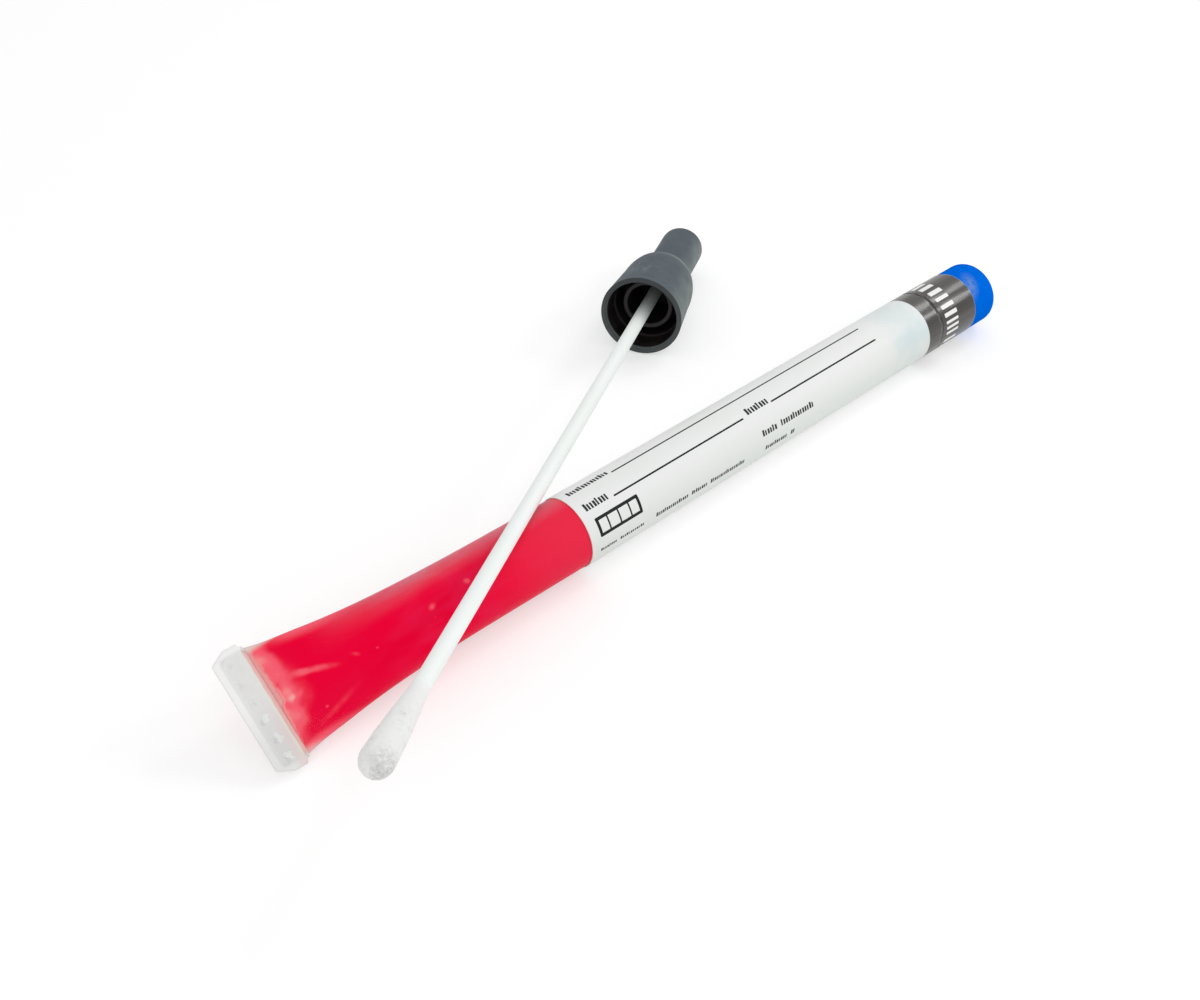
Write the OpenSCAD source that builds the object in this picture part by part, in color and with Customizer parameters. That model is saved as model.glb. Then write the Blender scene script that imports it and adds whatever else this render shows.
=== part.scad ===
// Swab transport tube with its swab taken out and laid across it.
// The tube lies along X with its sealed end at -X and its stopper at +X.
// Z is up, z = 0 is the surface everything rests on, all sizes in millimetres.

/* [Tube] */
// Outer diameter of the round barrel
tube_d = 12.5; // [10:0.1:16]
// Thickness of the barrel's wall
tube_wall = 1.1; // [0.6:0.1:1.5]
// Length from the outer edge of the seal to the open mouth
tube_l = 152; // [120:1:200]

/* [Sealed end] */
// Length of the flat seal strip along the tube
seal_l = 4.7; // [3:0.1:8]
// Thickness of the seal strip
seal_t = 1.1; // [0.8:0.1:1.6]
// Length of the thinner lip along the strip's outer edge
lip_l = 1.1; // [0.5:0.1:2]
// Thickness of that lip
lip_t = 0.7; // [0.4:0.1:1]
// Length of each corner cut along the tube
corner_l = 2.3; // [1:0.1:3]
// Width of each corner cut across the tube
corner_w = 1.2; // [0.5:0.1:2.5]
// Turn of the strip about the tube's axis, from level
seal_roll = 36.7; // [0:0.1:38]
// Sideways shift of the strip, along its own width
seal_shift = 0.8; // [0:0.1:1.5]
// Length over which the barrel flattens
squeeze_l = 57; // [40:1:70]
// How late the flattening sets in
squeeze_power = 4.6; // [2:0.1:6]
// Number of pressed dimples in the strip
dimples = 6; // [3:1:8]
// Diameter of a dimple
dimple_d = 1.2; // [0.8:0.1:1.6]
// Depth of a dimple
dimple_t = 0.2; // [0.1:0.05:0.3]

/* [Medium] */
// How far the medium runs on past the label's edge
medium_under = 8; // [2:1:30]

/* [Label and seal film] */
// Thickness of the label and of the seal film
film_t = 0.1; // [0.05:0.01:0.2]
// Length of the label along the tube
label_l = 88.5; // [60:0.5:100]
// Width of the seal film's ring on the tube
film_on_tube = 4.2; // [3:0.1:10]
// Width of the seal film's ring on the stopper
film_on_stopper = 10.8; // [5:0.1:14]

/* [Stopper] */
// Length of the stopper's head outside the mouth
head_l = 18; // [16:0.5:25]
// Rounding of the head's far edge
head_round = 1.2; // [0.5:0.1:2.5]
// Length of the stem inside the mouth
stem_l = 13.5; // [8:0.5:20]
// Gap between the stem and the bore, all round
stem_gap = 0.05; // [0.02:0.01:0.1]
// Chamfer at the stem's end
stem_chamfer = 0.8; // [0.3:0.1:1.5]

/* [Swab] */
// Diameter of the stick
shaft_d = 2.65; // [2:0.05:3]
// Distance from the cap's mouth to the tip of the bud
swab_reach = 126.8; // [100:0.5:140]
// Length of the bud
bud_l = 17; // [12:0.5:25]
// Largest diameter of the bud
bud_d = 4.8; // [4:0.1:6]
// Thickness of the fibre where the bud begins
bud_edge = 0.1; // [0.05:0.01:0.3]
// How full the bud is behind its tip, from a straight cone to a round belly
bud_fullness = 0.65; // [0:0.05:1]
// Length of stick inside the bud
shaft_in_bud = 13; // [8:0.5:14]

/* [Swab cap] */
// Gap between the skirt's narrow end and the wrapped barrel that it slides over
skirt_gap = 0.1; // [0.05:0.05:1]
// Thickness of the skirt at the mouth
cap_wall = 1; // [0.8:0.1:1.5]
// Whole length of the cap
cap_l = 34.4; // [30:0.1:45]
// Distance from the mouth to where the shoulder curves in
skirt_l = 10.5; // [9:0.5:14]
// Distance from the mouth to where the grip begins
shoulder_l = 18.6; // [17:0.1:24]
// Narrowing of the skirt's radius up to the shoulder
skirt_draft = 0.75; // [0.3:0.05:1]
// Diameter of the finger grip
grip_d = 9.1; // [7:0.1:11]
// Rounding of the grip's end
grip_round = 1; // [0.5:0.1:2]
// Gap between the collar inside the skirt and the bore that it plugs
collar_gap = 0.1; // [0.05:0.05:0.5]
// Thickness of the collar
collar_wall = 0.8; // [0.6:0.1:1.2]
// How far the collar's rim lies behind the mouth
collar_set = 5.2; // [3:0.1:7]
// Depth of the hollow, from the mouth to its floor
hollow_l = 15; // [13:0.5:17]
// Depth of the socket in the grip that holds the stick
socket_l = 12; // [8:0.5:14]

/* [Swab's place] */
// Angle between the swab and the tube, seen from above
swab_yaw = 30.5; // [20:0.5:60]
// Distance from the seal's outer edge to where the swab crosses the tube
cross_l = 51.3; // [45:0.1:56]
// Distance from the cap's mouth to that crossing, along the swab
cap_to_cross = 70.2; // [60:0.1:90]
// Gap left between the stick and the tube that it lies on
rest_gap = 0.05; // [0.02:0.01:0.2]

/* [Hidden] */
$fn = 64;

// Tube, along X
tube_r = tube_d / 2;
bore_r = tube_r - tube_wall;
axis_z = tube_r + film_t;
total_l = tube_l + head_l;
seal_x = -total_l / 2;
mouth_x = seal_x + tube_l;
strip_x = seal_x + seal_l;
squeeze_x = strip_x + squeeze_l;
film_x = mouth_x - film_on_tube;
label_x = film_x - label_l;

// Sealed end: the barrel's girth is kept, so the strip is half of it wide
strip_w = PI * tube_r;
loft_end_inset = 0.63;
loft_end_w = strip_w / 2 - loft_end_inset;
drift_power = 1.4;
ring_points = 40;
ring_steps = 14;
ring_crowding = 1.5;
hollow_end_h = 0.12;
hollow_end_inset = 1.9;
hollow_stop = 0.3;
dimple_pitch = strip_w / (dimples + 0.5);

// Lengths that pieces run into each other, and that cuts run past a face
overlap = 0.4;
tuck = 0.02;
past = 1;

// Swab: it leans from its cap, on the surface, over the top of the barrel
shaft_r = shaft_d / 2;
skirt_end_r = tube_r + film_t + skirt_gap + cap_wall;
cap_r = skirt_end_r + skirt_draft;
grip_r = grip_d / 2;
bud_r = bud_d / 2;
// Rings of the cap's shoulder: radius, and place behind the mouth
cap_shoulder = [for (a = [0:10:80])
    [grip_r + (skirt_end_r - grip_r) * cos(a), -skirt_l - (shoulder_l - skirt_l) * sin(a)]];
cross_x = seal_x + cross_l;
reach_up = tube_r + shaft_r + rest_gap;
function swab_dir(pitch) = [-cos(pitch) * cos(swab_yaw), -cos(pitch) * sin(swab_yaw), sin(pitch)];
function lift_dir(pitch) =
    let (d = swab_dir(pitch), n = sqrt(d.y * d.y + d.z * d.z)) [0, d.z / n, -d.y / n];
lean_rounds = 12;
// The pitch at which the cap's ring of radius r, u behind its mouth, meets the surface
function lean(pitch, u, r, rounds) = rounds == 0 ? pitch :
    lean(asin((axis_z + reach_up * lift_dir(pitch).z - r * cos(pitch)) / (cap_to_cross + u)), u, r,
         rounds - 1);
swab_pitch = min([for (ring = concat([[cap_r, 0]], cap_shoulder))
    lean(0, -ring.y, ring.x, lean_rounds)]);
along = swab_dir(swab_pitch);

// The origin is under the middle of the whole set, so the tube's axis is shifted along Y
cap_from_axis = reach_up * lift_dir(swab_pitch) - cap_to_cross * along;
side_y = sqrt(1 - along.y * along.y);
far_y = cap_from_axis.y - (cap_l - grip_round) * along.y + (grip_r - grip_round) * side_y + grip_round;
near_y = cap_from_axis.y + (swab_reach - bud_r) * along.y - bud_r;
tube_y = -(far_y + near_y) / 2;
cap_place = [cross_x, tube_y, axis_z] + cap_from_axis;

// Places a shape built along +Z onto the tube's axis, pointing to +X from station x
module on_tube(x) {
    translate([x, tube_y, axis_z]) rotate([0, 90, 0]) children();
}

// Places a shape built along +Z onto the swab's axis, z = 0 at the cap's mouth, +Z to the bud
module on_swab() {
    translate(cap_place) rotate([0, 90 - swab_pitch, 180 + swab_yaw]) children();
}

// A ring of film round the barrel from station x on
module film_ring(x, length) {
    on_tube(x) difference() {
        cylinder(h = length, r = tube_r + film_t);
        translate([0, 0, -past]) cylinder(h = length + 2 * past, r = tube_r);
    }
}

// ---- Flattening of the tube ----
// How far the flattening has gone at station x: 0 where it is round, 1 at the strip
function squeezed(x) = max(0, min(1, (squeeze_x - x) / squeeze_l));
// Half height and half width of the outside
function flatness(x) = pow(squeezed(x), squeeze_power);
function out_h(x) = tube_r + (seal_t / 2 - tube_r) * flatness(x);
function out_w(x) = tube_r + (loft_end_w - tube_r) * flatness(x);
// Half height and half width of the hollow, which all but closes at the strip
function in_h(x) = bore_r + (hollow_end_h - bore_r) * flatness(x);
function in_w(x) = bore_r + (loft_end_w - hollow_end_inset - bore_r) * flatness(x);
// Sideways drift of the section's middle
function drift(x) = seal_shift * pow(squeezed(x), drift_power);

// One section: a slot shape with round ends, half width w and half height h, shifted by d
function slot_ring(x, w, h, d) = [for (i = [0:ring_points - 1])
    let (a = 360 * (i + 0.5) / ring_points, side = cos(a) > 0 ? 1 : -1)
    [x, d + side * (w - h) + h * cos(a), h * sin(a)]];

// A closed skin through equal rings, from the first to the last
module ring_loft(rings) {
    n = len(rings[0]);
    last = len(rings) - 1;
    points = [for (ring = rings) each ring];
    quads = [for (k = [0:last - 1], i = [0:n - 1])
        let (j = (i + 1) % n) [k * n + i, k * n + j, (k + 1) * n + j, (k + 1) * n + i]];
    caps = [[for (i = [0:n - 1]) n - 1 - i], [for (i = [0:n - 1]) last * n + i]];
    polyhedron(points = points, faces = concat(quads, caps), convexity = 4);
}

// Stations from a to b, closer together towards b, where the shape turns fastest
function stations(a, b) =
    [for (k = [0:ring_steps]) a + (b - a) * (1 - pow(1 - k / ring_steps, ring_crowding))];

// Turns a shape built with the strip level to the strip's own roll, on the tube's axis
module rolled() {
    translate([0, tube_y, axis_z]) rotate([seal_roll, 0, 0]) children();
}

module squeezed_outside() {
    xs = stations(squeeze_x + overlap, strip_x - overlap);
    rolled() ring_loft([for (x = xs) slot_ring(x, out_w(x) - tuck, out_h(x) - tuck, drift(x))]);
}

// The hollow from station a to the strip, smaller all round by inset
module squeezed_hollow(a, inset) {
    xs = stations(a, strip_x + hollow_stop);
    rolled() ring_loft([for (x = xs) slot_ring(x, in_w(x) - inset, in_h(x) - inset, drift(x))]);
}

// ---- Tube ----
module seal_strip() {
    half = strip_w / 2;
    outline = [
        [seal_x, -half + corner_w], [seal_x + corner_l, -half], [strip_x, -loft_end_w],
        [strip_x, loft_end_w], [seal_x + corner_l, half], [seal_x, half - corner_w]];
    rolled() translate([0, seal_shift, 0]) difference() {
        translate([0, 0, -seal_t / 2]) linear_extrude(seal_t) polygon(outline);
        for (side = [0, 1]) mirror([0, 0, side])
            translate([seal_x - past, -half - past, lip_t / 2])
                cube([lip_l + past, strip_w + 2 * past, seal_t]);
        for (k = [0:dimples - 1])
            translate([strip_x - dimple_d, (k - (dimples - 1) / 2) * dimple_pitch, seal_t / 2 - dimple_t])
                cylinder(h = dimple_t + past, d = dimple_d, $fn = 24);
    }
}

module tube() {
    color([0.92, 0.94, 0.94, 0.5]) difference() {
        union() {
            on_tube(squeeze_x) cylinder(h = mouth_x - squeeze_x, r = tube_r);
            squeezed_outside();
            seal_strip();
        }
        union() {
            on_tube(squeeze_x) cylinder(h = mouth_x - squeeze_x + past, r = bore_r);
            squeezed_hollow(squeeze_x + overlap, tuck);
        }
    }
}

// ---- Medium ----
module medium() {
    color([0.9, 0.04, 0.2]) union() {
        on_tube(squeeze_x) cylinder(h = label_x + medium_under - squeeze_x, r = bore_r - tuck);
        squeezed_hollow(squeeze_x + overlap, tuck * 2);
    }
}

// ---- Label and seal film ----
module label() {
    color([0.92, 0.93, 0.93]) film_ring(label_x, label_l);
}

module seal_film_lower() {
    color([0.25, 0.23, 0.22]) film_ring(film_x, film_on_tube);
}

module seal_film_upper() {
    color([0.25, 0.23, 0.22]) film_ring(mouth_x, film_on_stopper);
}

// ---- Stopper ----
module stopper() {
    stem_r = bore_r - stem_gap;
    edge = [for (a = [0:15:90])
        [tube_r - head_round + head_round * cos(a), head_l - head_round + head_round * sin(a)]];
    color([0.0, 0.38, 0.87]) on_tube(mouth_x) rotate_extrude() polygon(concat(
        [[0, -stem_l], [stem_r - stem_chamfer, -stem_l], [stem_r, -stem_l + stem_chamfer],
         [stem_r, 0], [tube_r, 0]],
        edge, [[0, head_l]]));
}

// ---- Swab ----
// Outline of the cap from its mouth at z = 0 back to the grip's end
module cap_outline() {
    end = [for (a = [0:15:90])
        [grip_r - grip_round + grip_round * cos(a), -cap_l + grip_round - grip_round * sin(a)]];
    polygon(concat([[0, 0], [cap_r, 0]], cap_shoulder, [[grip_r, -shoulder_l]], end, [[0, -cap_l]]));
}

module swab_cap() {
    hollow_r = cap_r - cap_wall;
    hollow_end_r = skirt_end_r - cap_wall;
    collar_r = bore_r - collar_gap;
    color([0.3, 0.32, 0.34]) on_swab() difference() {
        rotate_extrude() cap_outline();
        // the hollow behind the mouth, left open round the collar
        difference() {
            translate([0, 0, -skirt_l]) cylinder(h = skirt_l + tuck, r1 = hollow_end_r, r2 = hollow_r);
            translate([0, 0, -skirt_l - past]) cylinder(h = skirt_l + past - collar_set, r = collar_r);
        }
        // the inside of the collar, and the socket behind its floor
        translate([0, 0, -hollow_l]) cylinder(h = hollow_l, r = collar_r - collar_wall);
        translate([0, 0, -hollow_l - socket_l]) cylinder(h = socket_l + past, r = shaft_r);
    }
}

module swab_shaft() {
    start = -hollow_l - socket_l;
    color([0.94, 0.95, 0.95]) on_swab() translate([0, 0, start])
        cylinder(h = swab_reach - bud_l + shaft_in_bud - start, r = shaft_r);
}

module swab_bud() {
    neck_r = shaft_r + bud_edge;
    dome_z = swab_reach - bud_r;
    body_z = swab_reach - bud_l;
    belly = [for (k = [0:8]) let (s = k / 8)
        [neck_r + (bud_r - neck_r) * ((1 - bud_fullness) * s + bud_fullness * sin(90 * s)),
         body_z + (dome_z - body_z) * s]];
    dome = [for (a = [10:10:80]) [bud_r * cos(a), dome_z + bud_r * sin(a)]];
    color([0.93, 0.93, 0.93]) on_swab() difference() {
        rotate_extrude() polygon(concat([[0, body_z]], belly, dome, [[0, swab_reach]]));
        translate([0, 0, body_z - past]) cylinder(h = shaft_in_bud + past, r = shaft_r);
    }
}

tube();
medium();
label();
seal_film_lower();
seal_film_upper();
stopper();
swab_cap();
swab_shaft();
swab_bud();
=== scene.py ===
"""Specimen swab tube: the finished looks of its tube, label, seal film, stopper and swab.

Every size is in metres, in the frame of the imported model: the tube lies along X,
and the swab leans over it from its cap, which lies on the surface at z = 0.
"""

import math
import random

import bmesh
import bpy
from bpy.props import FloatProperty, FloatVectorProperty, IntProperty, PointerProperty
from mathutils import Matrix, Vector, noise


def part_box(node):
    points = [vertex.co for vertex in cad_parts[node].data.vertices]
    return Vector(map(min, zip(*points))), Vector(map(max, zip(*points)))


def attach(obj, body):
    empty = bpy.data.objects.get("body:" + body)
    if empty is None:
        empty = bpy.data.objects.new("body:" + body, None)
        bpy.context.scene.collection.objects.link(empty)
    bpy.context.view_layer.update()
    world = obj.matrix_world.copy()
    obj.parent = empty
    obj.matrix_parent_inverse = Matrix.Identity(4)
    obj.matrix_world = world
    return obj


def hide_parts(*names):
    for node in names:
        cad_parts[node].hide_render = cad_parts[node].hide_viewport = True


bl_info = {
    "name": "Specimen Swab Tube",
    "version": (1, 0, 0),
    "blender": (4, 5, 0),
    "location": "View3D > Sidebar > Swab Tube",
    "description": "Builds the looks of a specimen swab tube around its packed model",
    "category": "Add Mesh",
}

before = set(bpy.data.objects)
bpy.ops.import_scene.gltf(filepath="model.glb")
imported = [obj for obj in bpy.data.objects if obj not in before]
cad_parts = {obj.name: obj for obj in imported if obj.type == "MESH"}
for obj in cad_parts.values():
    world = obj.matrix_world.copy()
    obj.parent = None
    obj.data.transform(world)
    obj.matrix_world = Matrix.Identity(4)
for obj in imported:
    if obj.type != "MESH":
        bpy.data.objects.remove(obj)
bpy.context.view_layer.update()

MM = 0.001
TUBE_BODY = "tube_and_swab"
STOPPER_BODY = "stopper_and_film"
QUARTER = math.pi / 2


# ---------------------------------------------------------------- places, from the frame


class Axis:
    """A round piece's own axis: local Z runs along it, local X is its upper side."""

    def __init__(self, origin, direction):
        z = direction.normalized()
        x = (Vector((0, 0, 1)) - z * z.z).normalized()
        y = z.cross(x)
        self.matrix = Matrix.Translation(origin) @ Matrix((x, y, z)).transposed().to_4x4()
        self.inverse = self.matrix.inverted()

    def span(self, node):
        """Lowest and highest station of a CAD node along the axis, and its largest radius."""
        local = [self.inverse @ v.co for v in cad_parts[node].data.vertices]
        stations = [p.z for p in local]
        return min(stations), max(stations), max(p.xy.length for p in local)


def middle(node):
    """Middle of a CAD node's box."""
    low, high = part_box(node)
    return (low + high) / 2


def stick_direction():
    """From the swab's cap to its bud, along the line between the stick's end rings."""
    centre = middle("swab_shaft")
    points = [v.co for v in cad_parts["swab_shaft"].data.vertices]
    bud_end = [p for p in points if p.x < centre.x]
    cap_end = [p for p in points if p.x >= centre.x]
    bud_middle = sum(bud_end, Vector()) / len(bud_end)
    cap_middle = sum(cap_end, Vector()) / len(cap_end)
    return bud_middle - cap_middle


def swab_axis():
    """The swab's axis, with its origin in the middle of the cap's mouth."""
    through_stick = Axis(middle("swab_shaft"), stick_direction())
    mouth = through_stick.span("swab_cap")[1]
    return Axis(through_stick.matrix @ Vector((0, 0, mouth)), stick_direction())


# Stations on the tube's axis are plain X coordinates
TUBE = Axis(Vector((0, middle("stopper").y, middle("stopper").z)), Vector((1, 0, 0)))
SWAB = swab_axis()
SEAL_END, MOUTH, TUBE_R = TUBE.span("tube")[0], TUBE.span("tube")[1], TUBE.span("stopper")[2]
STICK_R = SWAB.span("swab_shaft")[2]
BUD_START, BUD_END, BUD_R = SWAB.span("swab_bud")
FILM_R = TUBE.span("label")[2]


# ---------------------------------------------------------------- sizes and colours


def length(name, description, default):
    """A size that a user may change, in metres."""
    return FloatProperty(name=name, description=description, default=default, unit="LENGTH", precision=5)


def number(name, description, default):
    """A plain factor that a user may change."""
    return FloatProperty(name=name, description=description, default=default)


def colour(name, description, default):
    """A colour that a user may change."""
    return FloatVectorProperty(name=name, description=description, default=default, subtype="COLOR",
                               size=3, min=0, max=1)


class TubeSizes(bpy.types.PropertyGroup):
    """Sizes of the soft tube and of what fills it."""

    wall: length("Wall", "Thickness of the tube's wall", 1.1 * MM)
    thin_wall: length("Clear wall", "Wall shown over the medium, which looks swollen through it", 0.06 * MM)
    seal_length: length("Seal length", "Length of the flat seal strip along the tube", 4.7 * MM)
    seal_thickness: length("Seal thickness", "Thickness of the seal strip", 1.1 * MM)
    lip_length: length("Lip length", "Length of the thin lip along the seal's outer edge", 1.1 * MM)
    lip_thickness: length("Lip thickness", "Thickness of that lip", 0.7 * MM)
    corner_length: length("Corner length", "Length of each corner cut along the tube", 2.3 * MM)
    corner_width: length("Corner width", "Width of each corner cut", 1.2 * MM)
    seal_roll: FloatProperty(name="Seal roll", description="Turn of the strip about the tube, from level",
                             default=math.radians(36.7), subtype="ANGLE")
    seal_shift: length("Seal shift", "Sideways shift of the strip along its own width", 0.8 * MM)
    squeeze_length: length("Squeeze length", "Length over which the barrel flattens", 57 * MM)
    squeeze_power: number("Squeeze power", "How late the flattening sets in", 4.6)
    edge_inset: length("Edge inset", "How much narrower than the strip the flattened barrel ends", 0.63 * MM)
    shift_power: number("Shift power", "How late the sideways shift sets in", 1.4)
    mark_pitch: length("Mark pitch", "From one pressed mark of the seal to the next", 3.02 * MM)
    bare_edge: length("Bare edge", "Clear plastic beside the medium, next to the seal", 0.25 * MM)
    wrinkle: length("Wrinkle", "Height of the wrinkles next to the seal", 0.11 * MM)


class FilmSizes(bpy.types.PropertyGroup):
    """Sizes of the label, the seal film and their print."""

    label_gap: length("Label set in", "How far the label's face lies inside the film's radius", 0.02 * MM)
    film_thickness: length("Film thickness", "Thickness of the label and of the seal film", 0.075 * MM)
    ink: length("Ink", "Thickness of the print", 0.006 * MM)
    rule_width: length("Ruled line", "Width of the ruled lines", 0.31 * MM)
    box_line: length("Entry box line", "Width of the line round the entry box", 0.55 * MM)
    flap: length("Flap", "Width of the label's overlapping end", 4 * MM)
    tear_wave: length("Tear wave", "How far the tear line wanders", 0.3 * MM)
    tear_gap: length("Tear gap", "Gap of the tear line", 0.07 * MM)
    fold: length("Fold", "Depth of the lengthwise folds in the seal film", 0.035 * MM)


class SwabSizes(bpy.types.PropertyGroup):
    """Sizes of the swab's cap, stick and bud."""

    cap_wall: length("Cap wall", "Thickness of the cap's skirt at its mouth", 1.0 * MM)
    skirt_length: length("Skirt", "Length of the skirt before the shoulder", 10.5 * MM)
    shoulder_length: length("Shoulder", "From the mouth to where the grip begins", 18.6 * MM)
    skirt_draft: length("Draft", "Narrowing of the skirt up to the shoulder", 0.75 * MM)
    grip_radius: length("Grip radius", "Radius of the finger grip", 4.55 * MM)
    grip_round: length("Grip rounding", "Rounding of the grip's end", 1.0 * MM)
    collar_radius: length("Collar radius", "Outer radius of the collar inside the skirt", 5.05 * MM)
    collar_wall: length("Collar wall", "Thickness of the collar", 0.8 * MM)
    collar_set: length("Collar set", "How far the collar's rim lies behind the mouth", 5.2 * MM)
    hollow_depth: length("Hollow", "Depth of the hollow inside the collar", 15 * MM)
    fuzz: length("Fuzz", "How far loose fibres stand off the bud", 0.22 * MM)
    strands: IntProperty(name="Strands", description="Number of loose fibres on the bud", default=480)


class SetColours(bpy.types.PropertyGroup):
    """Colours of the set's finishes."""

    plastic: colour("Tube", "Milky plastic of the tube", (0.84, 0.845, 0.84))
    red: colour("Medium", "Deep red of the medium", (0.88, 0.0, 0.038))
    pink: colour("Pale medium", "Medium where it thins out next to the seal", (1.0, 0.115, 0.17))
    label: colour("Label", "White of the label film", (0.85, 0.855, 0.85))
    ink: colour("Ink", "Dark print on the label", (0.024, 0.024, 0.026))
    film: colour("Seal film", "Brown-black of the seal film", (0.022, 0.018, 0.016))
    blue: colour("Stopper", "Blue of the stopper", (0.0, 0.138, 0.72))
    grey: colour("Cap", "Slate grey of the cap", (0.080, 0.098, 0.114))
    stick: colour("Stick", "White of the stick", (0.92, 0.95, 0.935))
    fibre: colour("Bud", "White of the bud's fibre", (0.88, 0.88, 0.875))


class StageSizes(bpy.types.PropertyGroup):
    """Camera and light."""

    camera_place: FloatVectorProperty(name="Camera", description="Where the camera stands",
                                      default=(-0.13234, -0.13756, 0.14865), subtype="TRANSLATION")
    camera_aim: FloatVectorProperty(name="Aim", description="Point on the surface that it looks at",
                                    default=(-0.01089, -0.00646, 0.0), subtype="TRANSLATION")
    lens: number("Lens", "Focal length in millimetres on a 36 mm sensor", 40.07)
    lamp_distance: length("Lamp distance", "From the middle of the surface to each soft lamp", 0.65)
    side_power: number("Side lamps", "Power of each of the two lamps beside the stopper, in watts", 0.50)
    front_power: number("Front lamp", "Power of the broad lamp in front, in watts", 0.55)
    sky: number("Sky", "Strength of the white surroundings", 0.72)


# ---------------------------------------------------------------- shader helpers


class Value:
    """A shader node's output that takes plain arithmetic: each sign adds a Math node to its tree."""

    def __init__(self, shade, socket):
        self.shade, self.socket = shade, socket

    def __add__(self, other):
        return self.shade.math("ADD", self, other)

    def __sub__(self, other):
        return self.shade.math("SUBTRACT", self, other)

    def __rsub__(self, other):
        return self.shade.math("SUBTRACT", other, self)

    def __mul__(self, other):
        return self.shade.math("MULTIPLY", self, other)

    def __truediv__(self, other):
        return self.shade.math("DIVIDE", self, other)

    def __rtruediv__(self, other):
        return self.shade.math("DIVIDE", other, self)

    def __pow__(self, other):
        return self.shade.math("POWER", self, other)

    def __abs__(self):
        return self.shade.math("ABSOLUTE", self)


class Shade:
    """A node tree being filled: each call adds a node, feeds its inputs and gives back its output."""

    def __init__(self, tree):
        self.tree = tree

    def node(self, kind, *inputs, **settings):
        """A node of any kind, with its inputs fed in order and its settings made."""
        made = self.tree.nodes.new(kind)
        for name, value in settings.items():
            setattr(made, name, value)
        for socket, value in zip(made.inputs, inputs):
            self.feed(socket, value)
        return made

    def feed(self, socket, value):
        """Wires another node's value into a socket, or sets a plain one."""
        if isinstance(value, Value):
            self.tree.links.new(value.socket, socket)
        elif value is not None:
            socket.default_value = value

    def first(self, node):
        """The first output of a node."""
        return Value(self, node.outputs[0])

    def named(self, node):
        """All outputs of a node, by name."""
        return {socket.name: Value(self, socket) for socket in node.outputs}

    def math(self, operation, a, b=None, clamp=False):
        return self.first(self.node("ShaderNodeMath", a, b, operation=operation, use_clamp=clamp))

    def larger(self, a, b):
        return self.math("MAXIMUM", a, b)

    def smaller(self, a, b):
        return self.math("MINIMUM", a, b)

    def reach(self, vector):
        """Length of a vector."""
        return self.named(self.node("ShaderNodeVectorMath", vector, operation="LENGTH"))["Value"]

    def parts(self, vector):
        """The X, Y and Z of a vector."""
        return list(self.named(self.node("ShaderNodeSeparateXYZ", vector)).values())

    def vector(self, x=0.0, y=0.0, z=0.0):
        return self.first(self.node("ShaderNodeCombineXYZ", x, y, z))

    def stretched(self, vector, x, y, z):
        """A vector scaled along each of its axes."""
        return self.first(self.node("ShaderNodeVectorMath", vector, (x, y, z), operation="MULTIPLY"))

    def inside(self, vector, middle, turn, size):
        """A vector as seen from a turned and scaled frame of its own."""
        return self.first(self.node("ShaderNodeMapping", vector, middle, turn, size, vector_type="TEXTURE"))

    def step(self, value, low, high, to_low=0.0, to_high=1.0):
        """Rises smoothly from to_low at low to to_high at high, or falls if high is under low."""
        return self.first(self.node("ShaderNodeMapRange", value, low, high, to_low, to_high,
                                    interpolation_type="SMOOTHSTEP"))

    def line(self, value, at, half_width, core, strength=1.0):
        """A soft line where a value is near one number: full within its core, gone past its half width."""
        return self.step(abs(value - at), half_width, core, 0.0, strength)

    def mix(self, factor, a, b):
        """A blend of two colours."""
        made = self.node("ShaderNodeMix", data_type="RGBA")
        for index, value in ((0, factor), (6, rgba(a)), (7, rgba(b))):
            self.feed(made.inputs[index], value)
        return Value(self, made.outputs[2])

    def noise(self, vector, scale, detail=2.0, roughness=0.5, distortion=0.0):
        """Cloudy values from 0 to 1."""
        made = self.node("ShaderNodeTexNoise")
        for name, value in (("Vector", vector), ("Scale", scale), ("Detail", detail),
                            ("Roughness", roughness), ("Distortion", distortion)):
            self.feed(made.inputs[name], value)
        return self.named(made)["Fac"]

    def wander(self, vector, scale, span, detail=2.0, roughness=0.5):
        """Cloudy values to both sides of 0, over a span."""
        return (self.noise(vector, scale, detail, roughness) - 0.5) * span

    def bump(self, height, distance, strength, normal=None):
        """A normal that follows a height, on top of another normal if there is one."""
        made = self.node("ShaderNodeBump")
        for name, value in (("Strength", strength), ("Distance", distance), ("Height", height),
                            ("Normal", normal)):
            self.feed(made.inputs[name], value)
        return self.first(made)

    def group(self, name, **inputs):
        """A shared node group placed with its own values. Gives back its outputs by name."""
        made = self.node("ShaderNodeGroup", node_tree=shared(name))
        for socket_name, value in inputs.items():
            self.feed(made.inputs[socket_name.capitalize()], value)
        return self.named(made)

    def local(self, axis):
        """Object coordinates turned onto a round piece's axis, in millimetres."""
        place = self.named(self.node("ShaderNodeTexCoord"))["Object"]
        return self.inside(place, axis.matrix.to_translation(), axis.matrix.to_euler(), (MM, MM, MM))

    def wrapped(self, axis):
        """Place on a round piece, then its station, its turn from the top in degrees and its radius."""
        place = self.local(axis)
        wrap = self.group("Wrap", place=place)
        return place, wrap["Station"], wrap["Turn"], wrap["Radius"]

    def spot(self, place, middle, turn, size):
        """A soft elliptical spot on a flat place, its turn in radians."""
        return self.group("Soft spot", place=place, middle=(*middle, 0), turn=(0, 0, turn),
                          size=(*size, 1))["Mask"]

    def seen(self):
        """1 where a surface is looked at, also by way of gloss or glass, and 0 where it gives light."""
        path = self.named(self.node("ShaderNodeLightPath"))
        return self.larger(path["Is Camera Ray"],
                           self.larger(path["Is Glossy Ray"], path["Is Transmission Ray"]))


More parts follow.
